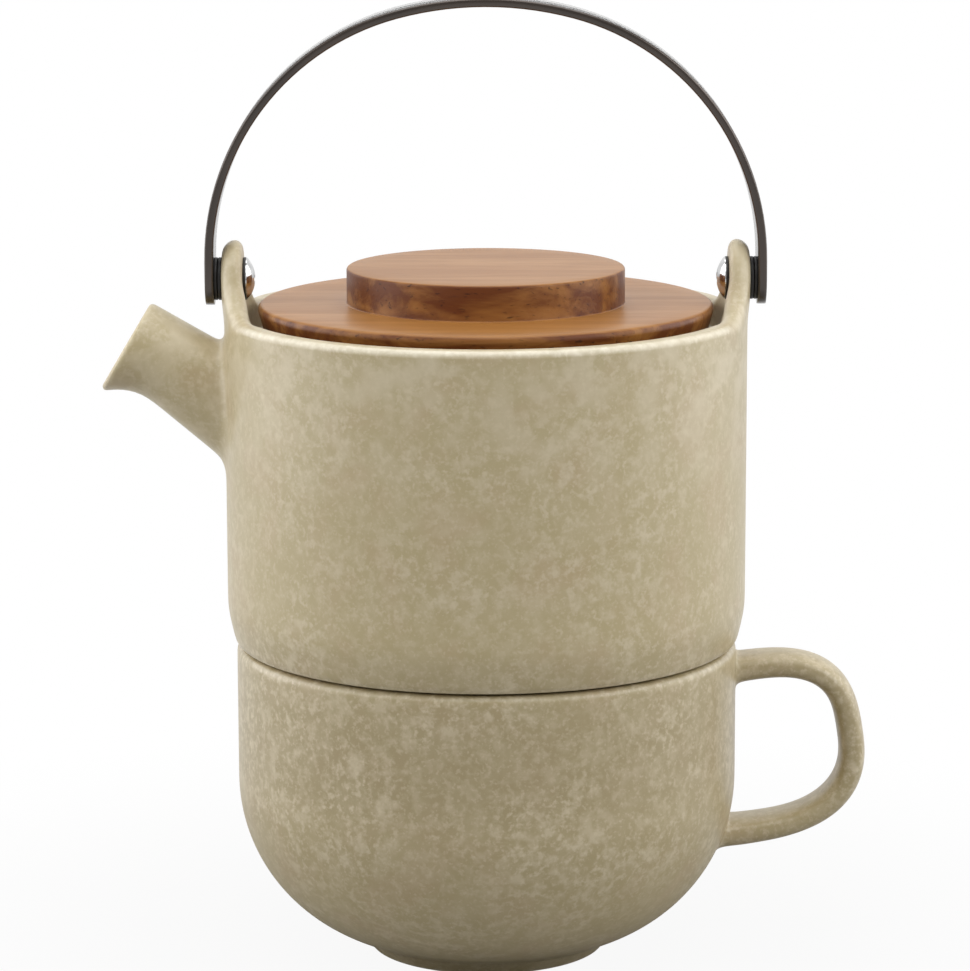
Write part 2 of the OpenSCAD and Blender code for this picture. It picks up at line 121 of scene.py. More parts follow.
class SpoutSizes(bpy.types.PropertyGroup):
    rise: length("Rise", 56.7 * MM, "Height of the axis at the wall above the seat")
    angle: degrees("Angle", 35, "Angle of the axis above the table")
    length: length("Length", 26.1 * MM, "Length of the axis from the wall to the mouth")
    root: length("Root", 11.1 * MM, "Outer radius at the wall")
    mouth: length("Mouth", 8.8 * MM, "Outer radius at the mouth")
    wall: length("Wall", 2.6 * MM, "Thickness of the spout's wall")
    tilt: degrees("Mouth tilt", 3.8, "Tilt of the mouth's plane")
    flare: length("Lip", 6.5 * MM, "How far the lip swings out below")
    lip_len: length("Lip length", 12 * MM, "Length of the lip along the spout")
    fillet: length("Fillet", 3 * MM, "Radius of the fillet at the wall")


class CupSizes(bpy.types.PropertyGroup):
    radius: length("Radius", 58 * MM, "Outer radius of the cup's wall")
    wall: length("Wall", 4 * MM, "Thickness of the wall")
    bowl: length("Bowl", 39.2 * MM, "Radius of the bowl's rounded lower part")
    floor: length("Floor", 4 * MM, "Thickness of the floor")
    foot: length("Foot", 30.2 * MM, "Outer radius of the foot ring")
    foot_h: length("Foot height", 3.6 * MM, "Height of the foot ring")
    foot_w: length("Foot width", 4 * MM, "Width of the foot ring's standing face")
    reach: length("Handle reach", 25 * MM, "Reach of the handle's centre line from its middle point")
    rise: length("Handle rise", 19.4 * MM, "Half the height of the handle's loop")
    middle: length("Handle height", 46.8 * MM, "Height of the loop's middle point")
    tilt: degrees("Handle tilt", 9, "Upward tilt of the loop")
    strap_t: length("Strap thickness", 6 * MM, "Thickness of the strap")
    strap_w: length("Strap width", 13 * MM, "Width of the strap")


class LidSizes(bpy.types.PropertyGroup):
    disc: length("Disc", LID_HIGH.x, "Radius of the disc")
    low: length("Underside", LID_LOW.z + 9 * MM, "Height of the disc's underside")
    thick: length("Thickness", 8 * MM, "Thickness of the disc")
    edge: length("Disc edge", 1.2 * MM, "Radius of the disc's top edge")
    knob: length("Knob", 31.9 * MM, "Radius of the knob")
    top: length("Top", LID_HIGH.z, "Height of the knob's top")
    plug: length("Plug", 40 * MM, "Radius of the plug")
    plug_low: length("Plug end", LID_LOW.z, "Height of the plug's underside")
    groove: length("Groove", 2 * MM, "Depth of the groove for the seal")
    seal_z: length("Seal", 139.3 * MM, "Height of the seal's middle")
    seal_t: length("Seal thickness", 3 * MM, "Thickness of the seal")
    seal_out: length("Seal radius", 41.25 * MM, "Outer radius of the seal")


class BailSizes(bpy.types.PropertyGroup):
    outer: length("Outer face", STRIP_HIGH.x, "Distance of the leg's outer face from the axis")
    thick: length("Strip thickness", 2 * MM, "Thickness of the strip")
    width: length("Strip width", STRIP_HIGH.y - STRIP_LOW.y, "Width of the strip")
    leg: length("Leg", 4.7 * MM, "Height above the pivot where the legs start to bend")
    haunch: length("Haunch", 58.9 * MM, "Outer radius of the bend above each leg")
    top: length("Top", STRIP_HIGH.z, "Height of the bail's top")
    shank: length("Shank", 2 * MM, "Radius of the screw's shank")
    head: length("Head", 4.9 * MM, "Radius of the screw's head")
    head_h: length("Head height", 1.9 * MM, "Height of the screw's head")
    socket: length("Socket", 2.5 * MM, "Width across the flats of the head's socket")
    washer: length("Washer", 4.9 * MM, "Radius of the washers")
    washer_t: length("Washer thickness", 0.75 * MM, "Thickness of the washers")
    flange_t: length("Flange thickness", 0.85 * MM, "Thickness of the bush's flange")
    play: length("Side play", 0.1 * MM, "Play between turning and fixed faces")


class Finishes(bpy.types.PropertyGroup):
    glaze: colour("Glaze", 184, 169, 129, "Main colour of the glaze")
    glaze_warm: colour("Warm glaze", 187, 166, 130, "Warm clouds in the glaze")
    glaze_fleck: colour("Patches", 210, 197, 168, "Small pale patches in the glaze")
    # Darker tone on the cup: partly its own glaze, partly painted shade.
    glaze_deep_and_shade: colour("Deep glaze", 160, 144, 108, "Deeper tone of the glaze on the cup")
    # Cream on bulging edges: partly glaze thinning over them, partly a painted highlight.
    glaze_thin_and_highlight: colour("Thin glaze", 250, 244, 226, "Glaze where it runs thin over an edge")
    wood_pale: colour("Pale wood", 174, 121, 62, "Wood between the growth rings")
    wood_dark: colour("Dark wood", 104, 54, 18, "Wood in the growth rings")
    wood_pore: colour("Pores", 40, 18, 8, "Open pores of the wood")
    bronze: colour("Bail", 66, 55, 47, "Dark brown coating of the bail")
    chrome: colour("Screws", 214, 214, 214, "Bright plated steel of the screws")
    steel: colour("Basket", 200, 200, 198, "Brushed steel of the tea basket")
    black: colour("Washers", 26, 25, 24, "Black plastic of the washers and bushes")
    silicone: colour("Seal", 226, 220, 205, "Pale silicone of the lid's seal")
    paper: colour("Table", 168, 167, 165, "Table and backdrop")


class StageSizes(bpy.types.PropertyGroup):
    distance: length("Camera distance", 949.7 * MM, "Distance of the camera in front of the axis")
    height: length("Camera height", 293 * MM, "Height of the camera")
    pitch: degrees("Camera pitch", 10.95, "Downward pitch of the camera")
    roll: degrees("Camera roll", 0.13, "Roll of the camera")
    lens: amount("Lens", 154.97, "Focal length in mm on a 36 mm sensor")
    left_light: amount("Left lamp", 4.9, "Power of the lamp on the left in watts")
    right_light: amount("Right lamp", 3.9, "Power of the lamp on the right in watts")
    left_key: amount("Left front lamp", 2.5, "Power of the lamp in front on the left in watts")
    right_key: amount("Right front lamp", 3.7, "Power of the lamp in front on the right in watts")
    front_light: amount("Front lamp", 1.6, "Power of the lamp above the front in watts")
    top_light: amount("Top lamp", 3.5, "Power of the lamp above in watts")
    room_light: amount("Room", 0.16, "Strength of the room's even light")
    room_front: amount("Dark front", 0.35, "How bright the room's front is in reflections")


# Curves and edit mode

def polar(radius, angle):
    """Point at an angle in a plane."""
    return Vector((radius * math.cos(angle), radius * math.sin(angle)))


def eased(outline, steps=3):
    """Outline whose corners (x, z, radius) are turned into arcs of their radius."""
    line = []
    for k, (x, z, radius) in enumerate(outline):
        corner = Vector((x, z))
        if radius == 0:
            line.append(corner)
            continue
        back = (Vector(outline[k - 1][:2]) - corner).normalized()
        onward = (Vector(outline[(k + 1) % len(outline)][:2]) - corner).normalized()
        half = back.angle(onward) / 2
        centre = corner + (back + onward).normalized() * radius / math.sin(half)
        start = corner + back * radius / math.tan(half) - centre
        end = corner + onward * radius / math.tan(half) - centre
        turn = math.atan2(start.x * end.y - start.y * end.x, start.dot(end))
        line += [centre + Matrix.Rotation(turn * i / steps, 2) @ start for i in range(steps + 1)]
    return line


def spaced(line, spacing):
    """The same line with more points, so that none is further than spacing from the next."""
    dense = [line[0]]
    for start, end in zip(line, line[1:]):
        count = max(1, math.ceil((end - start).length / spacing - 0.01))
        dense += [start.lerp(end, i / count) for i in range(1, count + 1)]
    return dense


def smooth_step(low, high, value):
    """0 below low, 1 above high, and a soft rise between them."""
    share = min(1, max(0, (value - low) / (high - low)))
    return share * share * (3 - 2 * share)


def start_piece(name):
    """A single vertex in edit mode, left of a small plane, as the start of a piece."""
    if bpy.context.object and bpy.context.object.mode == "EDIT":
        bpy.ops.object.mode_set(mode="OBJECT")
    bpy.ops.object.select_all(action="DESELECT")
    bpy.ops.mesh.primitive_plane_add(size=MM)
    piece = bpy.context.object
    piece.name = name
    piece.data.name = name
    bpy.ops.object.mode_set(mode="EDIT")
    bpy.ops.mesh.select_mode(type="VERT")
    bpy.ops.mesh.select_all(action="SELECT")
    bpy.ops.mesh.merge(type="CENTER")
    return piece


def draw_ring(points):
    """Extrudes the single vertex at the origin along the points and back to the first, and selects all."""
    here = Vector((0, 0, 0))
    for k, point in enumerate(points + points[:1]):
        if k == 0:
            bpy.ops.transform.translate(value=point - here)
        else:
            bpy.ops.mesh.extrude_region_move(TRANSFORM_OT_translate={"value": point - here})
        here = point
    bpy.ops.mesh.select_all(action="SELECT")
    bpy.ops.mesh.remove_doubles(threshold=SAME_SPOT)
    bpy.ops.mesh.select_all(action="SELECT")


def close_up():
    """Merges doubles and turns all faces outwards."""
    bpy.ops.mesh.select_all(action="SELECT")
    bpy.ops.mesh.remove_doubles(threshold=SAME_SPOT)
    bpy.ops.mesh.normals_make_consistent(inside=False)
    bpy.ops.mesh.select_all(action="DESELECT")


def turned(name, line, columns, axis="Z", height=0.0):
    """A piece turned on a lathe from a closed outline of (radius, place) points; left in edit mode."""
    piece = start_piece(name)
    upright = axis == "Z"
    draw_ring([Vector((p.x, 0, p.y)) if upright else Vector((p.y, 0, height + p.x)) for p in line])
    bpy.ops.mesh.spin(
        steps=columns, angle=math.tau, center=(0, 0, height), axis=(0, 0, 1) if upright else (1, 0, 0),
    )
    close_up()
    return piece


def selected_ring(piece, key):
    """The selected vertices of the piece in edit mode, in order of a key."""
    mesh = bmesh.from_edit_mesh(piece.data)
    return mesh, sorted((v for v in mesh.verts if v.select), key=key)


def ring_key(centre, down):
    """Key that orders vertices round a centre, from down towards +Y; a hair before down counts as down."""

    def key(vert):
        way = vert.co - centre
        return (math.atan2(way.y, way.dot(down)) + 0.01) % math.tau

    return key


def open_block(piece, inside):
    """Deletes the faces whose middle passes a test and selects the hole's edge."""
    mesh = bmesh.from_edit_mesh(piece.data)
    block = {f for f in mesh.faces if inside(f.calc_center_median())}
    edge = {e for f in block for e in f.edges if any(g not in block for g in e.link_faces)}
    marks = {v.index for e in edge for v in e.verts}
    bpy.ops.mesh.select_all(action="DESELECT")
    bpy.ops.mesh.select_mode(type="FACE")
    for face in block:
        face.select_set(True)
    bmesh.update_edit_mesh(piece.data)
    bpy.ops.mesh.delete(type="ONLY_FACE")
    bpy.ops.mesh.select_mode(type="VERT")
    bpy.ops.mesh.select_all(action="DESELECT")
    mesh = bmesh.from_edit_mesh(piece.data)
    mesh.verts.ensure_lookup_table()
    for vert in mesh.verts:
        if not vert.link_faces:
            vert.select_set(True)
    bmesh.update_edit_mesh(piece.data)
    near = {grid_place(mesh.verts[k].co) for k in marks}
    bpy.ops.mesh.delete(type="VERT")
    bpy.ops.mesh.select_mode(type="EDGE")
    bpy.ops.mesh.select_all(action="DESELECT")
    mesh = bmesh.from_edit_mesh(piece.data)
    for e in mesh.edges:
        if e.is_boundary and all(grid_place(v.co) in near for v in e.verts):
            e.select_set(True)
    bmesh.update_edit_mesh(piece.data)


def grid_place(point):
    """A point rounded to thousandths of a millimetre."""
    return tuple(round(c / MM, 3) for c in point)


def fillet_ring(wide, corner, ahead, share):
    """Ring at a share of the way through a fillet from a ring on the wall, past its corner, to one ahead."""
    return [
        a * (1 - share) ** 2 + b * 2 * share * (1 - share) + c * share ** 2
        for a, b, c in zip(wide, corner, ahead, strict=True)
    ]


def grow_ring(piece, points, key):
    """Extrudes the selected open ring and puts its new vertices, in order of a key, on the points."""
    bpy.ops.mesh.extrude_edges_move()
    mesh, ring = selected_ring(piece, key)
    for vert, point in zip(ring, points, strict=True):
        vert.co = point
    bmesh.update_edit_mesh(piece.data)


def join_rings(piece):
    """Bridges the two open rings of a piece."""
    bpy.ops.mesh.select_all(action="DESELECT")
    bpy.ops.mesh.select_mode(type="EDGE")
    mesh = bmesh.from_edit_mesh(piece.data)
    for edge in mesh.edges:
        edge.select_set(edge.is_boundary)
    bmesh.update_edit_mesh(piece.data)
    bpy.ops.mesh.bridge_edge_loops()


def modify(piece, kind, **settings):
    """Adds a modifier, sets it and applies it."""
    bpy.context.view_layer.objects.active = piece
    modifier = piece.modifiers.new(kind.title(), kind)
    for name, value in settings.items():
        setattr(modifier, name, value)
    bpy.ops.object.modifier_apply(modifier=modifier.name)


def leave_edit(piece, subdivisions=0, sharp=40):
    """Back to object mode, with the piece subdivided and smooth up to the sharp angle in degrees."""
    bpy.ops.object.mode_set(mode="OBJECT")
    bpy.ops.object.select_all(action="DESELECT")
    piece.select_set(True)
    if subdivisions:
        modify(piece, "SUBSURF", levels=subdivisions, render_levels=subdivisions)
    bpy.ops.object.shade_smooth_by_angle(angle=math.radians(sharp))


def mark_edges(piece, reach, calm=-math.inf, top=math.inf, calm_share=0.3):
    """Stores how the surface bulges, 0 to 1, as the attribute thin_and_highlight, which marks glaze thinning over
    edges and painted highlights on rounded edges; less of it beyond x = calm and above top.
    """
    mesh = bmesh.new()
    mesh.from_mesh(piece.data)
    mesh.normal_update()
    bulge = []
    for vert in mesh.verts:
        bends = [-vert.normal.dot(e.other_vert(vert).co - vert.co) / e.calc_length() ** 2 for e in vert.link_edges]
        weight = 1 if vert.co.x > calm and vert.co.z < top else calm_share
        bulge.append(2 * sum(bends) / max(1, len(bends)) * reach * weight)
    for _ in range(3):
        bulge = [
            (bulge[v.index] + sum(bulge[e.other_vert(v).index] for e in v.link_edges)) / (1 + len(v.link_edges))
            for v in mesh.verts
        ]
    mesh.free()
    layer = piece.data.attributes.new("thin_and_highlight", "FLOAT", "POINT")
    layer.data.foreach_set("value", [min(1, max(0, b)) for b in bulge])


def finish_piece(piece, body, slot, material, *nodes):
    """Gives a piece its material and its body and hides the nodes that it stands for; the slot is not used."""
    piece.data.materials.clear()
    piece.data.materials.append(material)
    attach(piece, body)
    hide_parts(*nodes)


# Materials

class Value:
    """An output socket that takes Python's arithmetic; each operator adds one Math node."""

    def __init__(self, finish, socket):
        self.finish = finish
        self.socket = socket

    def math(self, operation, first, second=0.5):
        return self.finish.add("ShaderNodeMath", {"operation": operation}, {0: first, 1: second})

    def __add__(self, other):
        return self.math("ADD", self, other)

    __radd__ = __add__

    def __sub__(self, other):
        return self.math("SUBTRACT", self, other)

    def __rsub__(self, other):
        return self.math("SUBTRACT", other, self)

    def __mul__(self, other):
        return self.math("MULTIPLY", self, other)

    __rmul__ = __mul__

    def __abs__(self):
        return self.math("ABSOLUTE", self)


class Finish:
    """One material's node tree; every node is made by add."""

    def __init__(self, name, world=None):
        owner = world or bpy.data.materials.new(name)
        owner.use_nodes = True
        self.owner = owner
        self.tree = owner.node_tree
        self.tree.nodes.clear()

    def add(self, kind, settings=None, sockets=None, output=0):
        node = self.tree.nodes.new(kind)
        for name, value in (settings or {}).items():
            setattr(node, name, value)
        for name, value in (sockets or {}).items():
            if isinstance(value, Value):
                self.tree.links.new(value.socket, node.inputs[name])
            else:
                node.inputs[name].default_value = value
        return Value(self, node.outputs[output]) if node.outputs else None

    def place(self, scale=(1, 1, 1), turn=(0, 0, 0), shift=(0, 0, 0)):
        """Object coordinates, stretched, turned and shifted."""
        place = self.add("ShaderNodeTexCoord", output="Object")
        return self.add(
            "ShaderNodeMapping", {}, {"Vector": place, "Location": shift, "Rotation": turn, "Scale": scale},
        )

    def noise(self, place, scale, detail=2.0, rough=0.5, bend=0.0):
        return self.add(
            "ShaderNodeTexNoise", {},
            {"Vector": place, "Scale": scale, "Detail": detail, "Roughness": rough, "Distortion": bend},
        )

    def ramp(self, value, low, high):
        """0 below low and 1 above high."""
        return self.add(
            "ShaderNodeMapRange", {"interpolation_type": "SMOOTHSTEP"},
            {"Value": value, "From Min": low, "From Max": high},
        )

    def mix(self, share, first, second):
        """Two colours mixed."""
        return self.add("ShaderNodeMix", {"data_type": "RGBA"}, {0: share, 6: first, 7: second}, 2)

    def bump(self, height, distance, strength, below=None):
        sockets = {"Height": height, "Distance": distance, "Strength": strength}
        if below:
            sockets["Normal"] = below
        return self.add("ShaderNodeBump", {}, sockets)

    def rays(self):
        """Share of rays that come straight from the camera, and share that are reflections."""
        path = self.tree.nodes.new("ShaderNodeLightPath")
        camera, glossy, through = (
            Value(self, path.outputs[f"Is {kind} Ray"]) for kind in ("Camera", "Glossy", "Transmission")
        )
        return camera + through, glossy

    def surface(self, sockets):
        shader = self.add("ShaderNodeBsdfPrincipled", {}, sockets)
        self.add("ShaderNodeOutputMaterial", {}, {"Surface": shader})
        return self.owner


def looks():
    return bpy.context.scene.teapot_finishes


def shaded(tone, level):
    """A tone made darker or brighter."""
    return tuple(level * c for c in tone[:3]) + (1,)


def grained(name, tone, level, place, noise, span, rough, relief=None, metallic=0.0):
    """A plain material whose tone, roughness and relief follow one fine noise."""
    finish = Finish(name)
    grain = finish.noise(finish.place(place), *noise)
    sockets = {
        "Base Color": finish.mix(finish.ramp(grain, *span), tone, shaded(tone, level)),
        "Metallic": metallic,
        "Roughness": rough[0] + rough[1] * grain,
    }
    if relief:
        sockets["Normal"] = finish.bump(grain, *relief)
    return finish.surface(sockets)


def glaze():
    """Satin stoneware glaze: warm sand crowded with soft pale patches; cream on bulging edges, partly glaze
    thinning there and partly painted highlight; a darker band on the cup, partly its glaze and partly painted
    shade.
    """
    if "stoneware_glaze" in bpy.data.materials:
        return bpy.data.materials["stoneware_glaze"]
    tones = looks()
    coat = Finish("stoneware_glaze")
    drift = coat.noise(coat.place(shift=(0.3, 0.1, 0.2)), 55, 2)
    crowd = 0.6 + 0.8 * coat.ramp(drift, 0.35, 0.65)
    warm = coat.ramp(coat.noise(coat.place(shift=(0.9, 0.4, 0.2)), 85, 2), 0.45, 0.7)
    base = coat.mix(warm * 0.6, tones.glaze, tones.glaze_warm)
    height = coat.add("ShaderNodeSeparateXYZ", {}, {0: coat.add("ShaderNodeTexCoord", output="Object")}, 2)
    # Darker band at the cup's height: partly the cup's glaze tone, partly painted shade where the cup gets less
    # light than the pot.
    cup_glaze_and_shade = coat.ramp(height, 0.01, 0.055) * (1 - coat.ramp(height, 0.06, 0.09))
    base = coat.mix(cup_glaze_and_shade * 0.7, base, tones.glaze_deep_and_shade)
    soft = coat.noise(coat.place(), 330, 3, 0.55)
    fine = coat.noise(coat.place(shift=(0, 0.5, 0.1)), 640, 3, 0.55)
    grain = coat.noise(coat.place(shift=(0.7, 0, 0.4)), 1150, 1)
    patchy = 0.52 * crowd
    for layer, low, high, weight in (
        (soft, 0.42, 0.72, patchy), (fine, 0.49, 0.7, patchy), (grain, 0.58, 0.72, 0.35),
    ):
        base = coat.mix(coat.ramp(layer, low, high) * weight, base, tones.glaze_fleck)
    near_rim = coat.ramp(height, 0.1, 0.152)
    cloud = coat.ramp(coat.noise(coat.place(shift=(0.2, 0.6, 0.5)), 120, 2), 0.42, 0.68)
    base = coat.mix((0.12 + 0.5 * near_rim) * cloud + 0.12 * near_rim, base, tones.glaze_fleck)
    thin_and_highlight = coat.add("ShaderNodeAttribute", {"attribute_name": "thin_and_highlight"}, output="Fac")
    # Cream along bulging edges: partly glaze thinning there, partly a painted highlight where rounded edges catch
    # the light.
    edge = coat.ramp(thin_and_highlight + 0.15 * (fine - 0.5), 0.18, 0.5)
    base = coat.mix(edge * 0.9, base, tones.glaze_thin_and_highlight)
    swell = coat.bump(coat.noise(coat.place(), 60, 2), 0.0006, 0.35)
    return coat.surface({
        "Base Color": base,
        "Roughness": 0.36 + 0.1 * soft,
        "Specular IOR Level": 0.5,
        "Coat Weight": 0.35,
        "Coat Roughness": 0.28,
        "Normal": coat.bump(fine, 0.00005, 0.5, swell),
    })


def wood():
    """Oiled hardwood: long grain along X, calm on the flat faces, curled and full of pores on the sides."""
    tones = looks()
    oil = Finish("oiled_wood")
    normal = oil.add("ShaderNodeNewGeometry", output="Normal")
    side = 1 - oil.ramp(abs(oil.add("ShaderNodeSeparateXYZ", {}, {0: normal}, 2)), 0.5, 0.95)
    bend = oil.noise(oil.place(), 38, 2)
    wave = oil.noise(oil.place((0.12, 1, 1)), 95, 3, 0.55, 1.1)
    rings = oil.noise(oil.place((0.06, 1.0, 0.8), (0.3, 0.02, 0.05)), 260, 4, 0.6, 0.6)
    figure = oil.ramp(wave * 0.6 + rings * 0.4 + (bend - 0.5) * 0.3, 0.36, 0.64) * (0.3 + 0.55 * side)
    base = oil.mix(figure + 0.3 * side, tones.wood_pale, tones.wood_dark)
    pores = oil.noise(oil.place((0.22, 1, 1), (0.1, 0.03, 0)), 1300, 2, 0.5, 0.3)
    pore = oil.ramp(pores, 0.6, 0.74) * (0.2 + 0.8 * side)
    base = oil.mix(pore * 0.7, base, tones.wood_pore)
    return oil.surface({
        "Base Color": base,
        "Roughness": 0.34 + 0.1 * figure,
        "Specular IOR Level": 0.3,
        "Normal": oil.bump(pores, 0.0001, 0.5),
    })


def coated_steel():
    """Dark brown coated strip with fine streaks along its length."""
    bronze = looks().bronze
    coat = Finish("dark_coated_steel")
    streak = coat.noise(coat.place((1, 0.1, 1)), 400, 3)
    cloud = coat.noise(coat.place(), 60, 2)
    return coat.surface({
        "Base Color": coat.mix(coat.ramp(cloud, 0.35, 0.65), bronze, shaded(bronze, 0.75)),
        "Metallic": 0.65,
        "Roughness": 0.24 + 0.12 * streak,
        "Coat Weight": 1.0,
        "Coat Roughness": 0.12,
        "Normal": coat.bump(streak, 0.00003, 0.4),
    })


def chrome():
    """Bright plated steel, faintly hazy."""
    return grained(
        "bright_chrome", looks().chrome, 0.82, (1, 1, 1), (500, 2), (0.4, 0.7), (0.08, 0.08), metallic=1.0,
    )


def brushed_steel():
    """Stainless steel brushed round the basket."""
    return grained(
        "brushed_steel", looks().steel, 0.8, (0.05, 0.05, 1), (1400, 2), (0.35, 0.65), (0.26, 0.14),
        (0.00002, 0.5), 1.0,
    )


def black_plastic():
    """Matt black moulded plastic with a fine grain."""
    return grained(
        "black_plastic", looks().black, 2.0, (1, 1, 1), (2200, 2), (0.4, 0.75), (0.42, 0.15), (0.00002, 0.4),
    )


def silicone():
    """Pale silicone with a soft bloom."""
    return grained(
        "pale_silicone", looks().silicone, 0.85, (1, 1, 1), (300, 3), (0.35, 0.7), (0.5, 0.15), (0.00003, 0.4),
    )


# Pot

COLUMNS = 180
SPOUT_CELLS = 16
SPOUT_ANGLES = [math.tau * j / (4 * SPOUT_CELLS) for j in range(4 * SPOUT_CELLS)]
EAR_ROWS = 8
EAR_COLUMNS = 14
RIM_EDGE = 1.6 * MM
INNER_DEPTH = 5.2 * MM
PAD_FLAT, PAD_END = 5.6 * MM, 10.5 * MM
CREST_LEAN = math.radians(80)
CREST_START, CREST_FULL = 0.93, 0.6
ROW = 6 * MM
CHANNEL_ROW = 1.5 * MM
LIP_SPREAD, LIP_CURL = 2.5, 2.1
LIP_STEPS = 6
LIP_BOW = 1.2 * MM
FILLET_SHARES = (0.25, 0.5, 0.75, 1)
OUTER_SHARES = (0.22, 0.34, 0.46, 0.58, 0.69, 0.78, 0.86, 0.92)
INNER_SHARES = (0.9, 0.82, 0.7, 0.55, 0.4, 0.25, 0.12, 0.02)


def spout_rows(pot):
    """Heights between which the pot's wall has the spout's rows; the ears' rows start above them."""
    return pot.rim - 39.7 * MM, pot.rim - 3.7 * MM


def channel_span(pot):
    """Heights between which the spout's channel opens into the room."""
    return pot.rim - 36.2 * MM, pot.rim - 12.2 * MM


def pot_outline(pot):
    """The pot's closed outline from the middle of its underside round to the middle of its floor."""
    ring_in, ring_low = pot.ring_out - pot.ring_w, POT_LOW.z
    edge_z, floor_z = pot.seat + pot.shadow, pot.seat + pot.floor
    spout_low, spout_high = spout_rows(pot)
    channel_low, channel_high = channel_span(pot)
    rim_in = pot.radius - pot.rim_wall
    crest_z, inner_low = pot.rim - RIM_EDGE, pot.rim - INNER_DEPTH
    gallery_z = pot.rim - pot.gallery
    room_top = gallery_z - pot.gallery_t
    outside = spaced(eased([
        (0, pot.seat, 0),
        (ring_in, pot.seat, 0.8 * MM),
        (ring_in, ring_low, 0.9 * MM),
        (pot.ring_out, ring_low, 0.9 * MM),
        (pot.ring_out, pot.seat, 0.7 * MM),
        (pot.ring_out + 2 * MM, pot.seat, 0),
        (pot.ring_out + 2.6 * MM, edge_z, 0),
        (pot.skirt, edge_z, 1.9 * MM),
        (pot.radius, pot.seat + pot.taper_h, 24 * MM),
        (pot.radius, spout_low, 0),
    ]), ROW)
    for top, spacing in (
        (spout_high, (spout_high - spout_low) / SPOUT_CELLS),
        (crest_z, (crest_z - spout_high) / EAR_ROWS),
    ):
        outside += spaced([outside[-1], Vector((pot.radius, top))], spacing)[1:]
    crest = [
        Vector((x, crest_z)) + polar(RIM_EDGE, math.radians(22.5 * k))
        for x, steps in ((pot.radius - RIM_EDGE, range(1, 5)), (rim_in + RIM_EDGE, range(4, 9))) for k in steps
    ]
    inner = spaced([crest[-1], Vector((rim_in, inner_low))], (crest_z - inner_low) / EAR_ROWS)[1:]
    shelf = eased([
        (rim_in, inner_low, 0),
        (rim_in, gallery_z, 0.9 * MM),
        (pot.gallery_in, gallery_z, 0.9 * MM),
        (pot.gallery_in, room_top, 0.9 * MM),
        (pot.room, room_top, 1.2 * MM),
        (pot.room, channel_high, 0),
    ], 2)[1:]
    room = spaced([shelf[-1], Vector((pot.room, channel_low))], CHANNEL_ROW)[1:]
    below = eased([
        (pot.room, channel_low, 0),
        (pot.room, floor_z, 8 * MM),
        (0, floor_z, 0),
    ], 4)[1:]
    return (
        outside + crest + inner + spaced([inner[-1]] + shelf, ROW)[1:]
        + room + spaced([room[-1]] + below, ROW)[1:]
    )


def ear_bend(pot):
    """Angle at which the ear's round top meets the sweep, and half the width of both together."""
    turn = math.acos((pot.sweep - pot.pivot) / (pot.sweep + pot.ear))
    return turn, (pot.sweep + pot.ear) * math.sin(turn)


def ear_outline(pot, along):
    """Point (s, z) and normal on the rim and ear at a length along the outline from the ear's top."""
    turn, half = ear_bend(pot)
    side = math.copysign(1, along)
    far = abs(along)
    round_part = pot.ear * turn
    if far < round_part:
        angle = far / pot.ear
        s, z = pot.ear * math.sin(angle), pot.rim + pot.pivot + pot.ear * math.cos(angle)
    elif far < round_part + pot.sweep * turn:
        angle = turn - (far - round_part) / pot.sweep
        s, z = half - pot.sweep * math.sin(angle), pot.rim + pot.sweep - pot.sweep * math.cos(angle)
    else:
        angle = 0
        s, z = half + far - round_part - pot.sweep * turn, pot.rim
    return Vector((side * s, z)), Vector((side * math.sin(angle), math.cos(angle)))


def on_ear(pot, flat, radius, pad):
    """Puts a point (s, z) of the unrolled ear at a radius, drawn to a flat pad round the pivot."""
    angle = flat.x / (pot.radius - pot.rim_wall / 2)
    x, y = radius * math.cos(angle), radius * math.sin(angle)
    reach = math.hypot(y, flat.y - pot.rim - pot.pivot)
    share = 1 - smooth_step(PAD_FLAT, PAD_END, reach)
    return Vector((x + (pad - x) * share, y, flat.y))


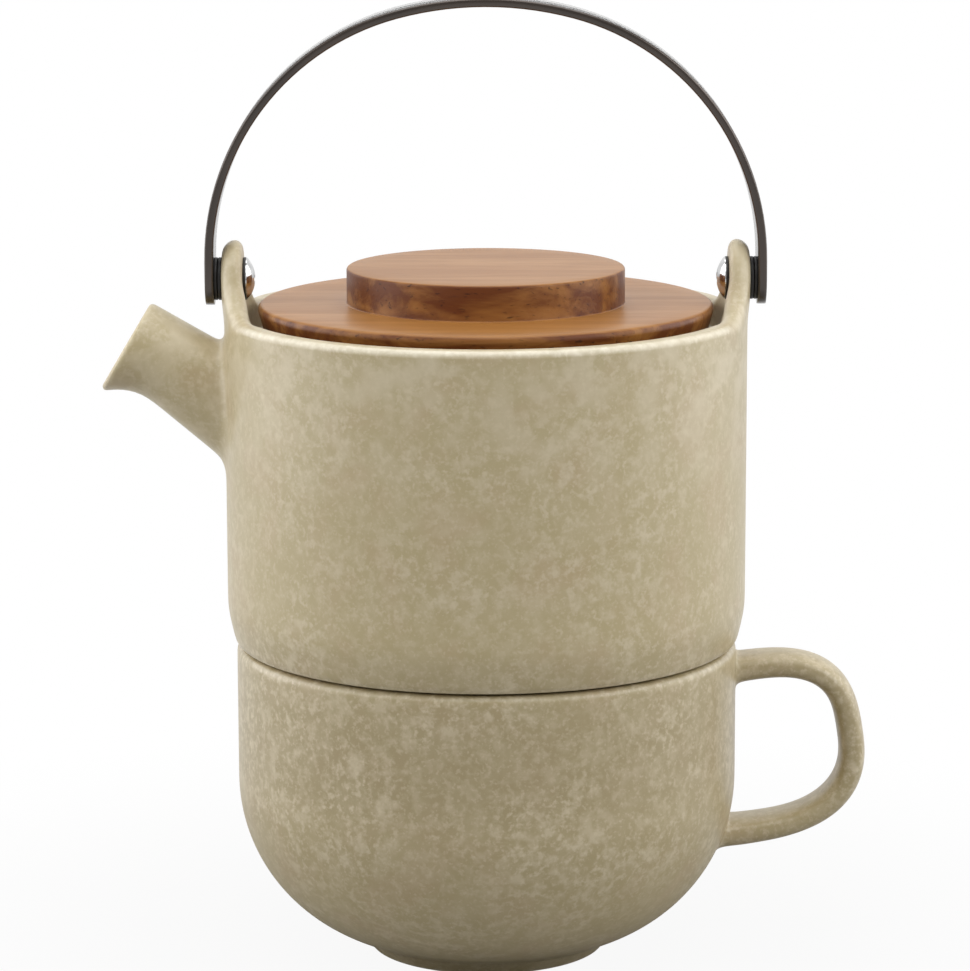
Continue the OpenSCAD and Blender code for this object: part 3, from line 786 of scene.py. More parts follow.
def shape_ears(piece, pot):
    """Pulls the rim up into the two ears, column by column, each ending square to the ear's outline."""
    half_wall = pot.rim_wall / 2
    flat_top = half_wall - RIM_EDGE
    middle, rim_in = pot.radius - half_wall, pot.radius - pot.rim_wall
    spout_high = spout_rows(pot)[1]
    crest_z, inner_low = pot.rim - RIM_EDGE, pot.rim - INNER_DEPTH
    span = EAR_COLUMNS * math.tau / COLUMNS * middle
    turn, half = ear_bend(pot)
    whole = (pot.ear + pot.sweep) * turn + span - half
    mesh = bmesh.from_edit_mesh(piece.data)
    moves = []
    for vert in mesh.verts:
        radius, z = vert.co.xy.length, vert.co.z
        outer = radius > middle
        low = spout_high if outer else inner_low
        column = round(math.atan2(vert.co.y, abs(vert.co.x)) / (math.tau / COLUMNS))
        if (
            radius < rim_in - 0.1 * MM or z < low - ON_PLANE
            or abs(column) >= EAR_COLUMNS or abs(vert.co.x) < radius / 2
        ):
            continue
        base = Vector((column / EAR_COLUMNS * span, low))
        end, normal = ear_outline(pot, column / EAR_COLUMNS * whole)
        raised = smooth_step(CREST_START, CREST_FULL, abs(end.x) / span)
        top = end - normal * (RIM_EDGE + (pot.crest - RIM_EDGE) * raised)
        if z <= crest_z + ON_PLANE:
            pull = (top - base).length
            flat = hermite(base, Vector((0, pull)), top, normal * pull, (z - low) / (crest_z - low))
            new_radius = radius
        else:
            plain = Vector((radius - middle, z - crest_z))
            angle = math.atan2(plain.y / RIM_EDGE, (abs(plain.x) - flat_top) / RIM_EDGE)
            share = min(1, max(0, angle / (math.pi / 2))) if abs(plain.x) > flat_top + ON_PLANE else 1
            bow = Vector((half_wall * math.cos(share * CREST_LEAN), pot.crest * math.sin(share * CREST_LEAN)))
            lifted = plain.lerp(Vector((math.copysign(bow.x, plain.x), bow.y)), raised)
            flat = top + normal * lifted.y
            new_radius = middle + lifted.x
        face, pad = (pot.radius, pot.pad) if outer else (rim_in, pot.inner_pad)
        point = on_ear(pot, flat, middle, middle)
        point = point.lerp(on_ear(pot, flat, face, pad), abs(new_radius - middle) / half_wall)
        moves.append((vert, Vector((math.copysign(point.x, vert.co.x), point.y, point.z))))
    for vert, place in moves:
        vert.co = place
    bmesh.update_edit_mesh(piece.data)


def hermite(start, leave, end, arrive, share):
    """Point on the curve between two points with given directions."""
    t2, t3 = share ** 2, share ** 3
    return (
        start * (2 * t3 - 3 * t2 + 1) + leave * (t3 - 2 * t2 + share)
        + end * (3 * t2 - 2 * t3) + arrive * (t3 - t2)
    )


class SpoutForm:
    """Points of the spout: t is the distance along its axis, f the angle round it from below."""

    def __init__(self, pot, spout):
        self.spout = spout
        self.way = Vector((-math.cos(spout.angle), 0, math.sin(spout.angle)))
        self.down = Vector((-math.sin(spout.angle), 0, -math.cos(spout.angle)))
        self.root = Vector((-pot.radius, 0, pot.seat + spout.rise))
        self.slim = (spout.mouth - spout.root) / spout.length
        self.lean = -math.tan(spout.tilt)

    def out(self, f):
        return self.down * math.cos(f) + Vector((0, math.sin(f), 0))

    def side_point(self, t, f, grow=0.0, ahead=0.0):
        """Point on the cone's side, grown by a distance and carried ahead along the axis."""
        return self.root + self.way * (t + ahead) + self.out(f) * (self.spout.root + self.slim * t + grow)

    def leave_wall(self, f, less, wall):
        """Where the cone's side, made smaller by less, leaves a cylinder of radius wall."""
        out = self.out(f)
        a0 = self.root.x + out.x * (self.spout.root - less)
        a1 = self.way.x + out.x * self.slim
        b0 = out.y * (self.spout.root - less)
        b1 = out.y * self.slim
        qa = a1 * a1 + b1 * b1
        qb = 2 * (a0 * a1 + b0 * b1)
        qc = a0 * a0 + b0 * b0 - wall * wall
        return (-qb + math.sqrt(qb * qb - 4 * qa * qc)) / (2 * qa)

    def mouth(self, f):
        turn = self.lean * math.cos(f)
        return (self.spout.length + turn * self.spout.root) / (1 - turn * self.slim)

    def lip(self, f, left):
        share = ((1 + math.cos(f)) / 2) ** LIP_SPREAD
        return self.spout.flare * share * max(0, 1 - left / self.spout.lip_len) ** LIP_CURL

    def ring(self, share, less, wall, past=0.0):
        """Points round the spout at a share of the way from the wall to the mouth."""
        points = []
        for f in SPOUT_ANGLES:
            start = self.leave_wall(f, less, wall)
            end = self.mouth(f)
            t = start + (end - start) * share + past
            lip = self.lip(f, end - t)
            points.append(self.side_point(t, f, lip - less, self.lean * math.cos(f) * lip * share))
        return points

    def on_wall(self, grow, wall):
        """Points on the wall round the spout's root, grown outwards by a distance."""
        points = []
        for f in SPOUT_ANGLES:
            base = self.side_point(self.leave_wall(f, -grow, wall), f, grow)
            points.append(onto_cylinder(base, wall))
        return points


def onto_cylinder(point, radius):
    """A point carried level onto a cylinder round the pot's axis."""
    flat = point.xy.normalized() * radius
    return Vector((flat.x, flat.y, point.z))


def add_spout(piece, pot, spout):
    """Opens the wall outside and inside and grows the spout ring by ring between the two holes."""
    form = SpoutForm(pot, spout)
    low, high = spout_rows(pot)
    half = SPOUT_CELLS / 2 * math.tau / COLUMNS
    for bottom, top, radius in ((*channel_span(pot), pot.room), (low, high, pot.radius)):
        open_block(piece, lambda c: (
            abs(math.atan2(c.y, -c.x)) < half and bottom < c.z < top and abs(c.xy.length - radius) < 1.5 * MM
        ))
    wall_key = ring_key(Vector((-pot.radius, 0, (low + high) / 2)), Vector((0, 0, -1)))
    axis_key = ring_key(form.root, form.down)
    first, corner = form.on_wall(spout.fillet, pot.radius), form.on_wall(0, pot.radius)
    mesh, edge = selected_ring(piece, wall_key)
    half_way = [onto_cylinder(v.co.lerp(b, 0.5), pot.radius) for v, b in zip(edge, first, strict=True)]
    grow_ring(piece, half_way, wall_key)
    grow_ring(piece, first, wall_key)
    ahead = [form.side_point(form.leave_wall(f, 0, pot.radius) + spout.fillet, f) for f in SPOUT_ANGLES]
    for share in FILLET_SHARES:
        grow_ring(piece, fillet_ring(first, corner, ahead, share), axis_key)
    for share in OUTER_SHARES:
        grow_ring(piece, form.ring(share, 0, pot.radius), axis_key)
    outer = form.ring(1, 0, pot.radius, -LIP_BOW)
    inner = form.ring(1, spout.wall * 0.8, pot.radius, -LIP_BOW)
    for k in range(LIP_STEPS + 1):
        angle = math.pi * k / LIP_STEPS
        lift = form.way * LIP_BOW * math.sin(angle)
        grow_ring(
            piece, [(a + b) / 2 + (a - b) / 2 * math.cos(angle) + lift for a, b in zip(outer, inner)], axis_key,
        )
    for share in INNER_SHARES:
        grow_ring(piece, form.ring(share, spout.wall, pot.room), axis_key)
    grow_ring(piece, form.on_wall(1 * MM - spout.wall, pot.room), axis_key)
    join_rings(piece)


def make_pot():
    scene = bpy.context.scene
    pot = scene.teapot_pot
    piece = turned("teapot_shell", pot_outline(pot), COLUMNS)
    shape_ears(piece, pot)
    add_spout(piece, pot, scene.teapot_spout)
    close_up()
    leave_edit(piece, 1, 50)
    cut_along_x(piece, pot.bore, (0, 0, pot.rim + pot.pivot))
    bpy.ops.object.shade_smooth_by_angle(angle=math.radians(50))
    mark_edges(piece, 1.1 * MM, calm=-pot.radius - 4 * MM, top=pot.rim + 2 * MM)
    finish_piece(piece, POT_BODY, "stoneware", glaze(), "teapot_body")


# Cup

GRIP_CELLS_WIDE = 10
GRIP_CELLS_HIGH = 6
GRIP_ANGLES = [math.tau * j / 32 for j in range(32)]
GRIP_STEPS = 40
GRIP_FILLET = 1.3 * MM
UPPER_BEND, LOWER_BEND = 2 / 3, 2 / 2.5
SECTION_BEND = 0.75
ROOT_FROM, ROOT_SPAN = 60, 45
ROOT_SWELL = 0.12
TURN_STEP = 0.01
BOWL_STEPS = 22
HOLLOW_STEPS = 12


def bowl_middle(cup):
    """Centre (radius, height) of the bowl's rounded lower part."""
    x = cup.radius - cup.bowl
    return x, cup.foot_h + math.sqrt(cup.bowl ** 2 - (cup.foot - x) ** 2)


def cup_outline(cup):
    """The cup's closed outline from the middle of its underside round to the middle of its floor."""
    rim_z = CUP_HIGH.z
    bowl_x, bowl_z = bowl_middle(cup)
    foot_out = cup.foot - 3.1 * MM
    foot_in = foot_out - cup.foot_w
    under_z = bowl_z - cup.bowl
    start = math.asin((cup.foot - bowl_x) / cup.bowl)
    centre = Vector((bowl_x, bowl_z))
    foot = eased([
        (0, under_z, 0),
        (foot_in - 0.6 * MM, under_z, 1.0 * MM),
        (foot_in, 0, 0.5 * MM),
        (foot_out, 0, 0.5 * MM),
        (cup.foot, cup.foot_h, 0),
    ])
    bowl = [
        centre + polar(cup.bowl, start + (math.pi / 2 - start) * k / BOWL_STEPS - math.pi / 2)
        for k in range(1, BOWL_STEPS + 1)
    ]
    wall_in = cup.radius - cup.wall
    inner_r = cup.bowl - cup.floor
    wall = eased([
        (cup.radius, bowl_z, 0),
        (cup.radius, rim_z, 1.8 * MM),
        (wall_in, rim_z, 1.8 * MM),
        (wall_in, bowl_z, 0),
    ], 4)[1:]
    hollow = [
        centre + Vector(((wall_in - bowl_x) * math.cos(a), inner_r * math.sin(a)))
        for a in (-math.pi / 2 * k / HOLLOW_STEPS for k in range(1, HOLLOW_STEPS + 1))
    ]
    above = [foot[-1]] + bowl + wall + hollow + [Vector((0, bowl_z - inner_r))]
    return spaced(foot, 4 * MM) + spaced(above, 2.4 * MM)[1:]


def outer_radius(cup, z):
    """Radius of the cup's outer side at a height."""
    bowl_x, bowl_z = bowl_middle(cup)
    return cup.radius if z > bowl_z else bowl_x + math.sqrt(cup.bowl ** 2 - (bowl_z - z) ** 2)


def is_inner(point, cup):
    """True for a point on the cup's inner side."""
    bowl_x, bowl_z = bowl_middle(cup)
    reach = point.xy.length
    if point.z > bowl_z:
        return reach < cup.radius - cup.wall / 2
    return math.hypot(reach - bowl_x, point.z - bowl_z) < cup.bowl - cup.floor / 2


def signed_power(value, power):
    """A power of a value's size that keeps its sign."""
    return math.copysign(abs(value) ** power, value)


class GripForm:
    """Centre line and sections of the cup's handle: a loop between a circle and a square."""

    def __init__(self, cup):
        self.cup = cup
        self.middle = Vector((cup.radius + 2.3 * MM, cup.middle))

    def path(self, angle):
        power = UPPER_BEND if angle > 0 else LOWER_BEND
        flat = Vector((
            self.cup.reach * signed_power(math.cos(angle), power),
            self.cup.rise * signed_power(math.sin(angle), power),
        ))
        return self.middle + Matrix.Rotation(self.cup.tilt, 2) @ flat

    def across(self, angle):
        """Centre (x, z) of the section at an angle, and the direction out of the loop there."""
        way = (self.path(angle - TURN_STEP) - self.path(angle + TURN_STEP)).normalized()
        return self.path(angle), Vector((-way.y, way.x))

    def wall_angle(self, side):
        """Angle at which the centre line meets the cup's wall, above for side 1 and below for side -1."""
        outside, inside = 0.0, side * math.radians(120)
        for _ in range(40):
            angle = (outside + inside) / 2
            spot = self.path(angle)
            if spot.x > outer_radius(self.cup, spot.y):
                outside = angle
            else:
                inside = angle
        return outside

    def ahead(self, angle, reach):
        """Angle nearer to the loop's middle whose point lies at a distance from that of an angle."""
        spot = self.path(angle)
        near = angle
        while (self.path(near) - spot).length < reach:
            near -= math.copysign(0.002, angle)
        return near

    def onto_wall(self, point):
        """A point carried along X onto the cup's outer side."""
        return Vector((math.sqrt(outer_radius(self.cup, point.z) ** 2 - point.y ** 2), point.y, point.z))

    def ring(self, angle, grow=0.0):
        """Section at an angle, a little larger toward the roots."""
        centre, out = self.across(angle)
        root = (max(0, abs(math.degrees(angle)) - ROOT_FROM) / ROOT_SPAN) ** 2
        half_t = self.cup.strap_t / 2 * (1 + ROOT_SWELL * root) + grow
        half_w = self.cup.strap_w / 2 * (1 + ROOT_SWELL * root) + grow
        points = []
        for b in GRIP_ANGLES:
            t = half_t * signed_power(math.cos(b), SECTION_BEND)
            w = half_w * signed_power(math.sin(b), SECTION_BEND)
            points.append(Vector((centre.x + out.x * t, w, centre.y + out.y * t)))
        return points


def add_grip(piece, cup):
    """Opens the cup's wall at the handle's two roots and grows the strap from one to the other."""
    form = GripForm(cup)
    high, low = form.wall_angle(1), form.wall_angle(-1)
    half = GRIP_CELLS_WIDE / 2 * math.tau / COLUMNS
    up = Vector((0, 0, 1))

    def rows_near(height):
        """Heights of the outer wall's lowest and highest rows round a root."""
        mesh = bmesh.from_edit_mesh(piece.data)
        heights = {
            round(v.co.z, 7) for v in mesh.verts
            if abs(v.co.y) < ON_PLANE and v.co.x > cup.foot + MM and v.normal.x > 0.1 and v.co.z < CUP_HIGH.z - MM
        }
        near = sorted(heights, key=lambda z: abs(z - height))[:GRIP_CELLS_HIGH + 1]
        return min(near), max(near)

    def open_root(angle, down):
        """Opens the wall round a root; the hole's points in order from down, and the key of that order."""
        centre = form.path(angle)
        bottom, top = rows_near(centre.y)
        open_block(piece, lambda c: (
            abs(math.atan2(c.y, c.x)) < half and bottom < c.z < top and not is_inner(c, cup)
            and Vector((c.xy.length - centre.x, c.z - centre.y)).length < 12 * MM
        ))
        mesh, ring = selected_ring(piece, lambda v: v.index)
        key = ring_key(sum((v.co for v in ring), Vector()) / len(ring), down)
        return [v.co.copy() for v in sorted(ring, key=key)], key

    def half_way(first, second):
        """Points on the wall between two rings on the wall."""
        return [form.onto_wall(a.lerp(b, 0.5)) for a, b in zip(first, second, strict=True)]

    def root_rings(angle):
        """Rings from the wall up to the strap, through a small fillet, and the strap's angle there."""
        near = form.ahead(angle, 2.2 * MM)
        wide, corner = ([form.onto_wall(p) for p in form.ring(angle, grow)] for grow in (GRIP_FILLET, 0))
        return [fillet_ring(wide, corner, form.ring(near), share) for share in (0, *FILLET_SHARES)], near

    def key_at(angle):
        centre, out = form.across(angle)
        return ring_key(Vector((centre.x, 0, centre.y)), Vector((out.x, 0, out.y)))

    low_edge = open_root(low, -up)[0]
    high_edge, wall_key = open_root(high, up)
    leaving, near_high = root_rings(high)
    arriving, near_low = root_rings(low)
    grow_ring(piece, half_way(high_edge, leaving[0]), wall_key)
    grow_ring(piece, leaving[0], wall_key)
    for ring in leaving[1:]:
        grow_ring(piece, ring, key_at(high))
    before = near_high
    for k in range(1, GRIP_STEPS + 1):
        angle = near_high + (near_low - near_high) * k / GRIP_STEPS
        grow_ring(piece, form.ring(angle), key_at(before))
        before = angle
    for ring in reversed(arriving[:-1]):
        grow_ring(piece, ring, key_at(low))
    grow_ring(piece, half_way(low_edge, arriving[0]), key_at(low))
    join_rings(piece)


def make_cup():
    cup = bpy.context.scene.teapot_cup
    piece = turned("cup_shell", cup_outline(cup), COLUMNS)
    add_grip(piece, cup)
    close_up()
    leave_edit(piece, 1, 50)
    mark_edges(piece, 0.85 * MM)
    finish_piece(piece, POT_BODY, "stoneware", glaze(), "cup")


# Lid

def make_lid():
    """The lid with its knob and its grooved plug, and the soft seal in the groove."""
    lid = bpy.context.scene.teapot_lid
    disc_top = lid.low + lid.thick
    groove_x = lid.plug - lid.groove
    seal_low = lid.seal_z - lid.seal_t / 2
    seal_high = lid.seal_z + lid.seal_t / 2
    outline = eased([
        (0, lid.plug_low, 0),
        (lid.plug, lid.plug_low, 0.8 * MM),
        (lid.plug, seal_low, 0.2 * MM),
        (groove_x, seal_low, 0.2 * MM),
        (groove_x, seal_high, 0.2 * MM),
        (lid.plug, seal_high, 0.2 * MM),
        (lid.plug, lid.low, 0.5 * MM),
        (lid.disc - 1.8 * MM, lid.low, 0.9 * MM),
        (lid.disc, disc_top - 1.6 * MM, 1.2 * MM),
        (lid.disc, disc_top, lid.edge),
        (lid.knob, disc_top, 0.3 * MM),
        (lid.knob, lid.top, 0.6 * MM),
        (0, lid.top, 0),
    ], 4)
    piece = turned("wooden_lid", spaced(outline, 5 * MM), 192)
    leave_edit(piece, 0, 35)
    finish_piece(piece, POT_BODY, "lid_wood", wood(), "lid")
    seal = turned("soft_seal", eased([
        (groove_x, seal_low, 0.15 * MM),
        (lid.seal_out, seal_low, 1.1 * MM),
        (lid.seal_out, seal_high, 1.1 * MM),
        (groove_x, seal_high, 0.15 * MM),
    ], 5), 128)
    leave_edit(seal, 0, 35)
    finish_piece(seal, POT_BODY, "seal", silicone(), "lid_seal")


# Bail

HAUNCH_ROWS = 30
CROWN_ROWS = 14
BORE_PLAY = 0.05 * MM


def bail_path(bail, pivot_z, depth):
    """Points (x, z) of the strip at a depth below its outer face, from the right leg to the left."""
    haunch = Vector((bail.outer - bail.haunch, pivot_z + bail.leg))
    gap = bail.top - haunch.y
    crown_r = (haunch.x ** 2 + gap ** 2 - bail.haunch ** 2) / (2 * (gap - bail.haunch))
    crown = Vector((0, bail.top - crown_r))
    turn = math.atan2(haunch.y - crown.y, haunch.x)
    right = [haunch + polar(bail.haunch - depth, turn * k / HAUNCH_ROWS) for k in range(HAUNCH_ROWS)]
    middle = [
        crown + polar(crown_r - depth, turn + (math.pi - 2 * turn) * k / CROWN_ROWS) for k in range(CROWN_ROWS + 1)
    ]
    return right + middle + [Vector((-p.x, p.y)) for p in reversed(right)]


def strip_section(outer, inner, reach, edge):
    """Ring of points round the strip between two points (x, z) of its faces, with eased edges."""
    middle = (outer + inner) / 2
    out = (outer - inner).normalized()
    half_t = (outer - inner).length / 2
    edge = min(edge, reach * 0.9)
    corner = Vector((half_t - edge, reach - edge))
    ring = []
    for side in (1, -1):
        ring += [(half_t * side, share * side * corner.y) for share in (-1, -0.5, 0, 0.5, 1)]
        ring += [side * (corner + polar(edge, math.radians(angle))) for angle in (30, 60)]
        ring += [(side * corner.x, side * reach), (-side * corner.x, side * reach)]
        for angle in (60, 30):
            spot = corner + polar(edge, math.radians(angle))
            ring.append((-side * spot.x, side * spot.y))
    return [Vector((middle.x + out.x * t, w, middle.y + out.y * t)) for t, w in ring]


def make_bail():
    """The strip, section by section along the bend, with round ends drawn in below the pivots."""
    scene = bpy.context.scene
    bail, pot = scene.teapot_bail, scene.teapot_pot
    pivot_z = pot.rim + pot.pivot
    half = bail.width / 2
    legs = []
    for angle in (88, 82, 74, 65, 55, 44, 32, 18, 0):
        drop = half * math.sin(math.radians(angle))
        faces = [Vector((x, pivot_z - drop)) for x in (bail.outer, bail.outer - bail.thick)]
        legs.append((*faces, math.sqrt(half ** 2 - drop ** 2)))
    bend = [(a, b, half) for a, b in zip(bail_path(bail, pivot_z, 0), bail_path(bail, pivot_z, bail.thick))]
    far = [(Vector((-a.x, a.y)), Vector((-b.x, b.y)), w) for a, b, w in reversed(legs)]
    sections = [strip_section(a, b, w, 0.5 * MM) for a, b, w in legs + bend + far]
    piece = start_piece("bail_strip")
    draw_ring(sections[0])
    bpy.ops.mesh.edge_face_add()
    for section in sections[1:]:
        bpy.ops.mesh.extrude_region_move()
        mesh = bmesh.from_edit_mesh(piece.data)
        for vert, place in zip([v for v in mesh.verts if v.select], section, strict=True):
            vert.co = place
        bmesh.update_edit_mesh(piece.data)
    close_up()
    leave_edit(piece)
    cut_along_x(piece, bail.shank + BORE_PLAY, (0, 0, pivot_z))
    bpy.ops.object.shade_smooth_by_angle(angle=math.radians(35))
    finish_piece(piece, BAIL_BODY, "bail_bronze", coated_steel(), "handle_strip")


def cut_along_x(piece, radius, place, depth=300 * MM, sides=64):
    """Cuts a hole with a number of sides into a piece along X and leaves the piece chosen."""
    bpy.ops.object.select_all(action="DESELECT")
    bpy.ops.mesh.primitive_cylinder_add(
        vertices=sides, radius=radius, depth=depth, rotation=(0, math.pi / 2, 0), location=place,
    )
    drill = bpy.context.object
    bpy.ops.object.transform_apply(location=True, rotation=True, scale=True)
    drill.select_set(False)
    modify(piece, "BOOLEAN", operation="DIFFERENCE", object=drill, solver="EXACT")
    bpy.data.objects.remove(drill)
    piece.select_set(True)
    bpy.context.view_layer.objects.active = piece


def mirrored(piece, name):
    """A copy of a piece with its own mesh, turned to the other side of the pot."""
    bpy.ops.object.select_all(action="DESELECT")
    piece.select_set(True)
    bpy.context.view_layer.objects.active = piece
    bpy.ops.object.duplicate()
    copy = bpy.context.object
    copy.name = name
    copy.data.name = name
    copy.data.transform(Matrix.Rotation(math.pi, 4, "Z"))
    return copy


def make_pivots():
    """Screws, bushes and washers, each turned about the pivot's axis."""
    scene = bpy.context.scene
    bail, pot = scene.teapot_bail, scene.teapot_pot
    pivot_z = pot.rim + pot.pivot
    flange_x = pot.pad + bail.flange_t
    inner_x = pot.inner_pad - bail.washer_t
    head_x = inner_x - bail.play
    tip_x = SCREW_HIGH.x
    ball = (bail.head ** 2 + bail.head_h ** 2) / (2 * bail.head_h)
    centre_x = head_x - bail.head_h + ball
    dome_turn = math.asin(bail.head / ball)
    dome = [
        Vector((ball * math.sin(a), centre_x - ball * math.cos(a)))
        for a in (dome_turn * 0.97 * k / 10 for k in range(11))
    ]
    screw = turned("screw_right", dome + eased([
        (bail.head, head_x, 0.12 * MM),
        (bail.shank, head_x, 0.1 * MM),
        (bail.shank, tip_x, 0.3 * MM),
        (0, tip_x, 0),
    ], 2), 48, "X", pivot_z)
    leave_edit(screw, 0, 30)
    socket = bail.socket / math.cos(math.radians(30)) / 2
    cut_along_x(screw, socket, (head_x - bail.head_h - 0.3 * MM, 0, pivot_z), 2 * bail.head_h, 6)
    modify(screw, "BEVEL", width=0.08 * MM, segments=2, limit_method="ANGLE", angle_limit=math.radians(40))
    bpy.ops.object.shade_smooth_by_angle(angle=math.radians(30))

    def ring(name, outline):
        """A turned ring whose bore has eased edges at the first and last place of its outline."""
        bore = bail.shank + BORE_PLAY
        line = [(bore, outline[-1][1], 0.1 * MM), (bore, outline[0][1], 0.1 * MM)] + outline
        piece = turned(name, eased(line), 64, "X", pivot_z)
        leave_edit(piece, 0, 40)
        return piece

    def washer(name, x):
        return ring(name, [(bail.washer, x + bail.washer_t, 0.2 * MM), (bail.washer, x, 0.2 * MM)])

    sleeve = 3.2 * MM
    bush = ring("bush_right", [
        (bail.washer, flange_x, 0.2 * MM),
        (bail.washer, pot.pad, 0.2 * MM),
        (sleeve, pot.pad, 0.1 * MM),
        (sleeve, pot.inner_pad, 0.1 * MM),
    ])
    outer = washer("outer_washer_ring_right", flange_x + bail.play)
    inner = washer("inner_washer_ring_right", inner_x)
    bright, black = chrome(), black_plastic()
    for piece, body, slot, material, node in (
        (screw, BAIL_BODY, "screw_chrome", bright, "handle_screw"),
        (bush, POT_BODY, "black_bush", black, "pivot_bush"),
        (outer, BAIL_BODY, "black_bush", black, "outer_washer"),
        (inner, POT_BODY, "black_bush", black, "inner_washer"),
    ):
        twin = mirrored(piece, piece.name.replace("right", "left"))
        finish_piece(piece, body, slot, material, node + "_right")
        finish_piece(twin, body, slot, material, node + "_left")


def dress_basket():
    """The tea basket keeps its own form and gets its brushed finish."""
    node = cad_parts["infuser_basket"]
    material = brushed_steel()
    if not node.material_slots:
        node.data.materials.append(material)
    for place in node.material_slots:
        place.material = material


# Stage

WHITE = (1, 1, 1, 1)


def paper_material():
    """White paper table: a soft contact shadow near the foot, plain white further out."""
    tone = looks().paper
    paper = Finish("white_paper")
    place = paper.add("ShaderNodeTexCoord", output="Object")
    reach = paper.add("ShaderNodeVectorMath", {"operation": "LENGTH"}, {0: place}, "Value")
    seen, glossy = paper.rays()
    far = paper.ramp(reach, 0.05, 0.22)
    fibre = paper.ramp(paper.noise(paper.place(), 900, 2), 0.3, 0.8) * 0.5
    diffuse = paper.add("ShaderNodeBsdfDiffuse", {}, {"Color": paper.mix(fibre, tone, shaded(tone, 0.96))})
    white = paper.add("ShaderNodeEmission", {}, {"Color": WHITE, "Strength": 1.0})
    share = seen * (0.93 + 0.07 * far) + glossy * 0.7 * far
    both = paper.add("ShaderNodeMixShader", {}, {0: share, 1: diffuse, 2: white})
    paper.add("ShaderNodeOutputMaterial", {}, {"Surface": both})
    return paper.owner


def studio_world(stage):
    """Even light on the object, white behind it, and a darker front in what it reflects."""
    world = bpy.data.worlds.new("studio_room")
    room = Finish("studio_room", world)
    seen, glossy = room.rays()
    even, white, ahead = (
        room.add("ShaderNodeBackground", {}, {"Color": WHITE, "Strength": strength})
        for strength in (stage.room_light, 1.0, stage.room_front)
    )
    way = room.add("ShaderNodeTexCoord", output="Generated")
    behind = room.ramp(room.add("ShaderNodeSeparateXYZ", {}, {0: way}, 1), -0.45, 0.05)
    mirrored_room = room.add("ShaderNodeMixShader", {}, {0: behind, 1: ahead, 2: white})
    shown = room.add("ShaderNodeMixShader", {}, {0: glossy, 1: even, 2: mirrored_room})
    both = room.add("ShaderNodeMixShader", {}, {0: seen, 1: shown, 2: white})
    room.add("ShaderNodeOutputWorld", {}, {"Surface": both})
    return world


def area_lamp(name, place, size, power):
    """A soft square lamp turned to the middle of the set."""
    data = bpy.data.lights.new(name, "AREA")
    data.size = size
    data.energy = power
    lamp = bpy.data.objects.new(name, data)
    bpy.context.scene.collection.objects.link(lamp)
    lamp.location = place
    lamp.rotation_euler = (Vector((0, 0, 110 * MM)) - Vector(place)).to_track_quat("-Z", "Y").to_euler()


def make_stage():
    scene = bpy.context.scene
    stage = scene.teapot_stage
    bpy.ops.object.select_all(action="DESELECT")
    bpy.ops.mesh.primitive_circle_add(vertices=96, radius=9.0, fill_type="NGON")
    floor = bpy.context.object
    floor.name = "paper_table"
    floor.data.materials.append(paper_material())
    scene.world = studio_world(stage)

    for name, place, size, power in (
        ("side_lamp_left", (-0.75, 0.12, 0.32), 0.9, stage.left_light),
        ("side_lamp_right", (0.75, 0.12, 0.32), 0.9, stage.right_light),
        ("front_lamp_left", (-0.78, -0.62, 0.62), 0.7, stage.left_key),
        ("front_lamp_right", (0.78, -0.62, 0.62), 0.7, stage.right_key),
        ("front_lamp", (0, -0.35, 0.85), 0.6, stage.front_light),
        ("top_lamp", (0, 0.1, 0.95), 0.9, stage.top_light),
    ):
        area_lamp(name, place, size, power)

    data = bpy.data.cameras.new("camera")
    camera = bpy.data.objects.new("camera", data)
    scene.collection.objects.link(camera)
    data.sensor_width = 36
    data.lens = stage.lens
    data.clip_start = 0.01
    camera.location = (-0.28 * MM, -stage.distance, stage.height)
    turn = Matrix.Rotation(math.pi / 2 - stage.pitch, 4, "X") @ Matrix.Rotation(-stage.roll, 4, "Z")
    camera.rotation_euler = turn.to_euler()
    scene.camera = camera
    scene.view_settings.view_transform = "Standard"


# Add-on

class TEAPOT_OT_stage(bpy.types.Operator):
    """Sets up the paper table, the lamps and the camera"""
    bl_idname = "teapot.stage"
    bl_label = "Stage"

    def execute(self, context):
        make_stage()
        return {"FINISHED"}


class TEAPOT_OT_pot(bpy.types.Operator):
    """Models the pot with its spout and its two ears"""
    bl_idname = "teapot.pot"
    bl_label = "Pot"

    def execute(self, context):
        make_pot()
        return {"FINISHED"}


class TEAPOT_OT_cup(bpy.types.Operator):
    """Models the cup with its handle"""
    bl_idname = "teapot.cup"
    bl_label = "Cup"

    def execute(self, context):
        make_cup()
        return {"FINISHED"}


class TEAPOT_OT_lid(bpy.types.Operator):
    """Turns the wooden lid and its seal"""
    bl_idname = "teapot.lid"
    bl_label = "Lid and Seal"

    def execute(self, context):
        make_lid()
        return {"FINISHED"}


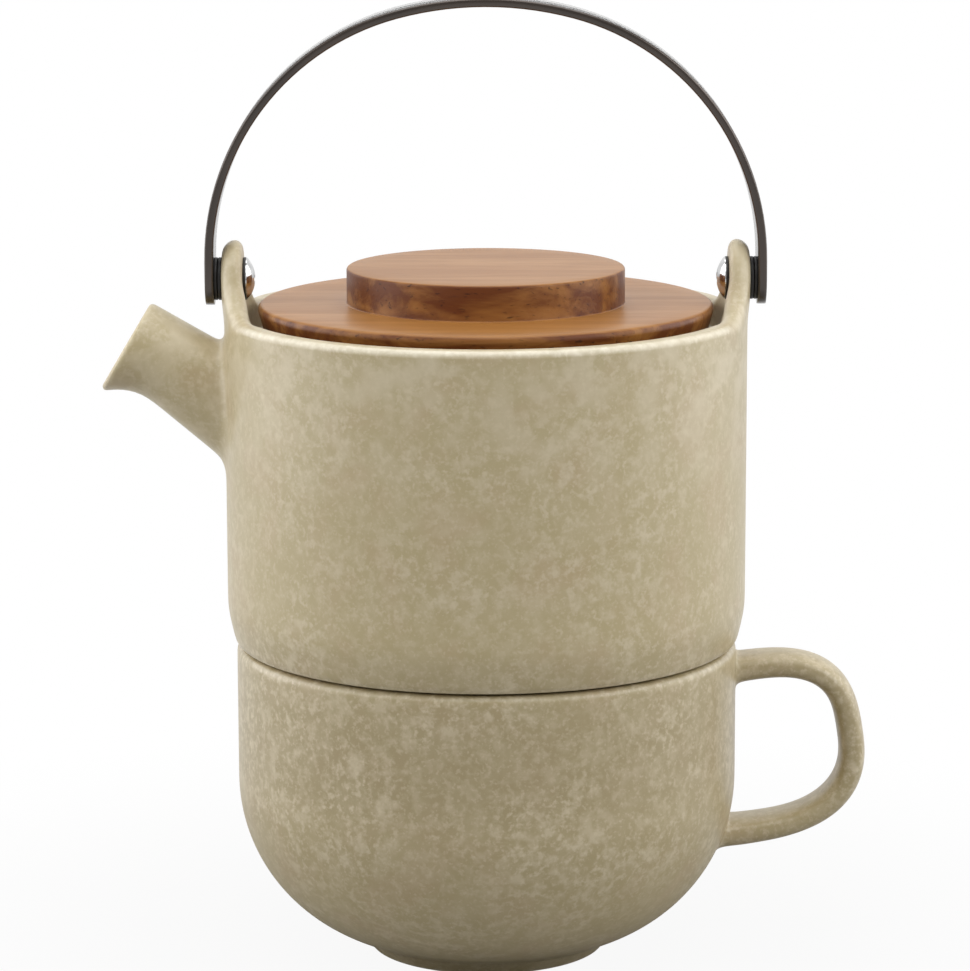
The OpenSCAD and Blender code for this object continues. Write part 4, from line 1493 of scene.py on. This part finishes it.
class TEAPOT_OT_bail(bpy.types.Operator):
    """Bends the flat steel strip"""
    bl_idname = "teapot.bail"
    bl_label = "Bail"

    def execute(self, context):
        make_bail()
        return {"FINISHED"}


class TEAPOT_OT_pivots(bpy.types.Operator):
    """Turns the screws, bushes and washers of both pivots"""
    bl_idname = "teapot.pivots"
    bl_label = "Pivots"

    def execute(self, context):
        make_pivots()
        return {"FINISHED"}


class TEAPOT_OT_basket(bpy.types.Operator):
    """Gives the tea basket its brushed finish"""
    bl_idname = "teapot.basket"
    bl_label = "Tea Basket"

    def execute(self, context):
        dress_basket()
        return {"FINISHED"}


class TEAPOT_PT_panel(bpy.types.Panel):
    bl_idname = "TEAPOT_PT_panel"
    bl_label = "Teapot and Cup"
    bl_space_type = "VIEW_3D"
    bl_region_type = "UI"
    bl_category = "Teapot"

    def draw(self, context):
        for operator in OPERATORS:
            self.layout.operator(operator.bl_idname)
        for name in GROUPS:
            group = getattr(context.scene, name)
            box = self.layout.box()
            box.label(text=name.replace("_", " ").title())
            for item in group.__annotations__:
                box.prop(group, item)


GROUPS = {
    "teapot_pot": PotSizes,
    "teapot_spout": SpoutSizes,
    "teapot_cup": CupSizes,
    "teapot_lid": LidSizes,
    "teapot_bail": BailSizes,
    "teapot_finishes": Finishes,
    "teapot_stage": StageSizes,
}
OPERATORS = (
    TEAPOT_OT_stage,
    TEAPOT_OT_pot,
    TEAPOT_OT_cup,
    TEAPOT_OT_lid,
    TEAPOT_OT_bail,
    TEAPOT_OT_pivots,
    TEAPOT_OT_basket,
)


def register():
    for cls in (*GROUPS.values(), *OPERATORS, TEAPOT_PT_panel):
        bpy.utils.register_class(cls)
    for name, group in GROUPS.items():
        setattr(bpy.types.Scene, name, PointerProperty(type=group))


def unregister():
    for name in GROUPS:
        delattr(bpy.types.Scene, name)
    for cls in reversed((*GROUPS.values(), *OPERATORS, TEAPOT_PT_panel)):
        bpy.utils.unregister_class(cls)


def main():
    register()
    for operator in OPERATORS:
        group, name = operator.bl_idname.split(".")
        getattr(getattr(bpy.ops, group), name)()


if __name__ == "__main__":
    main()
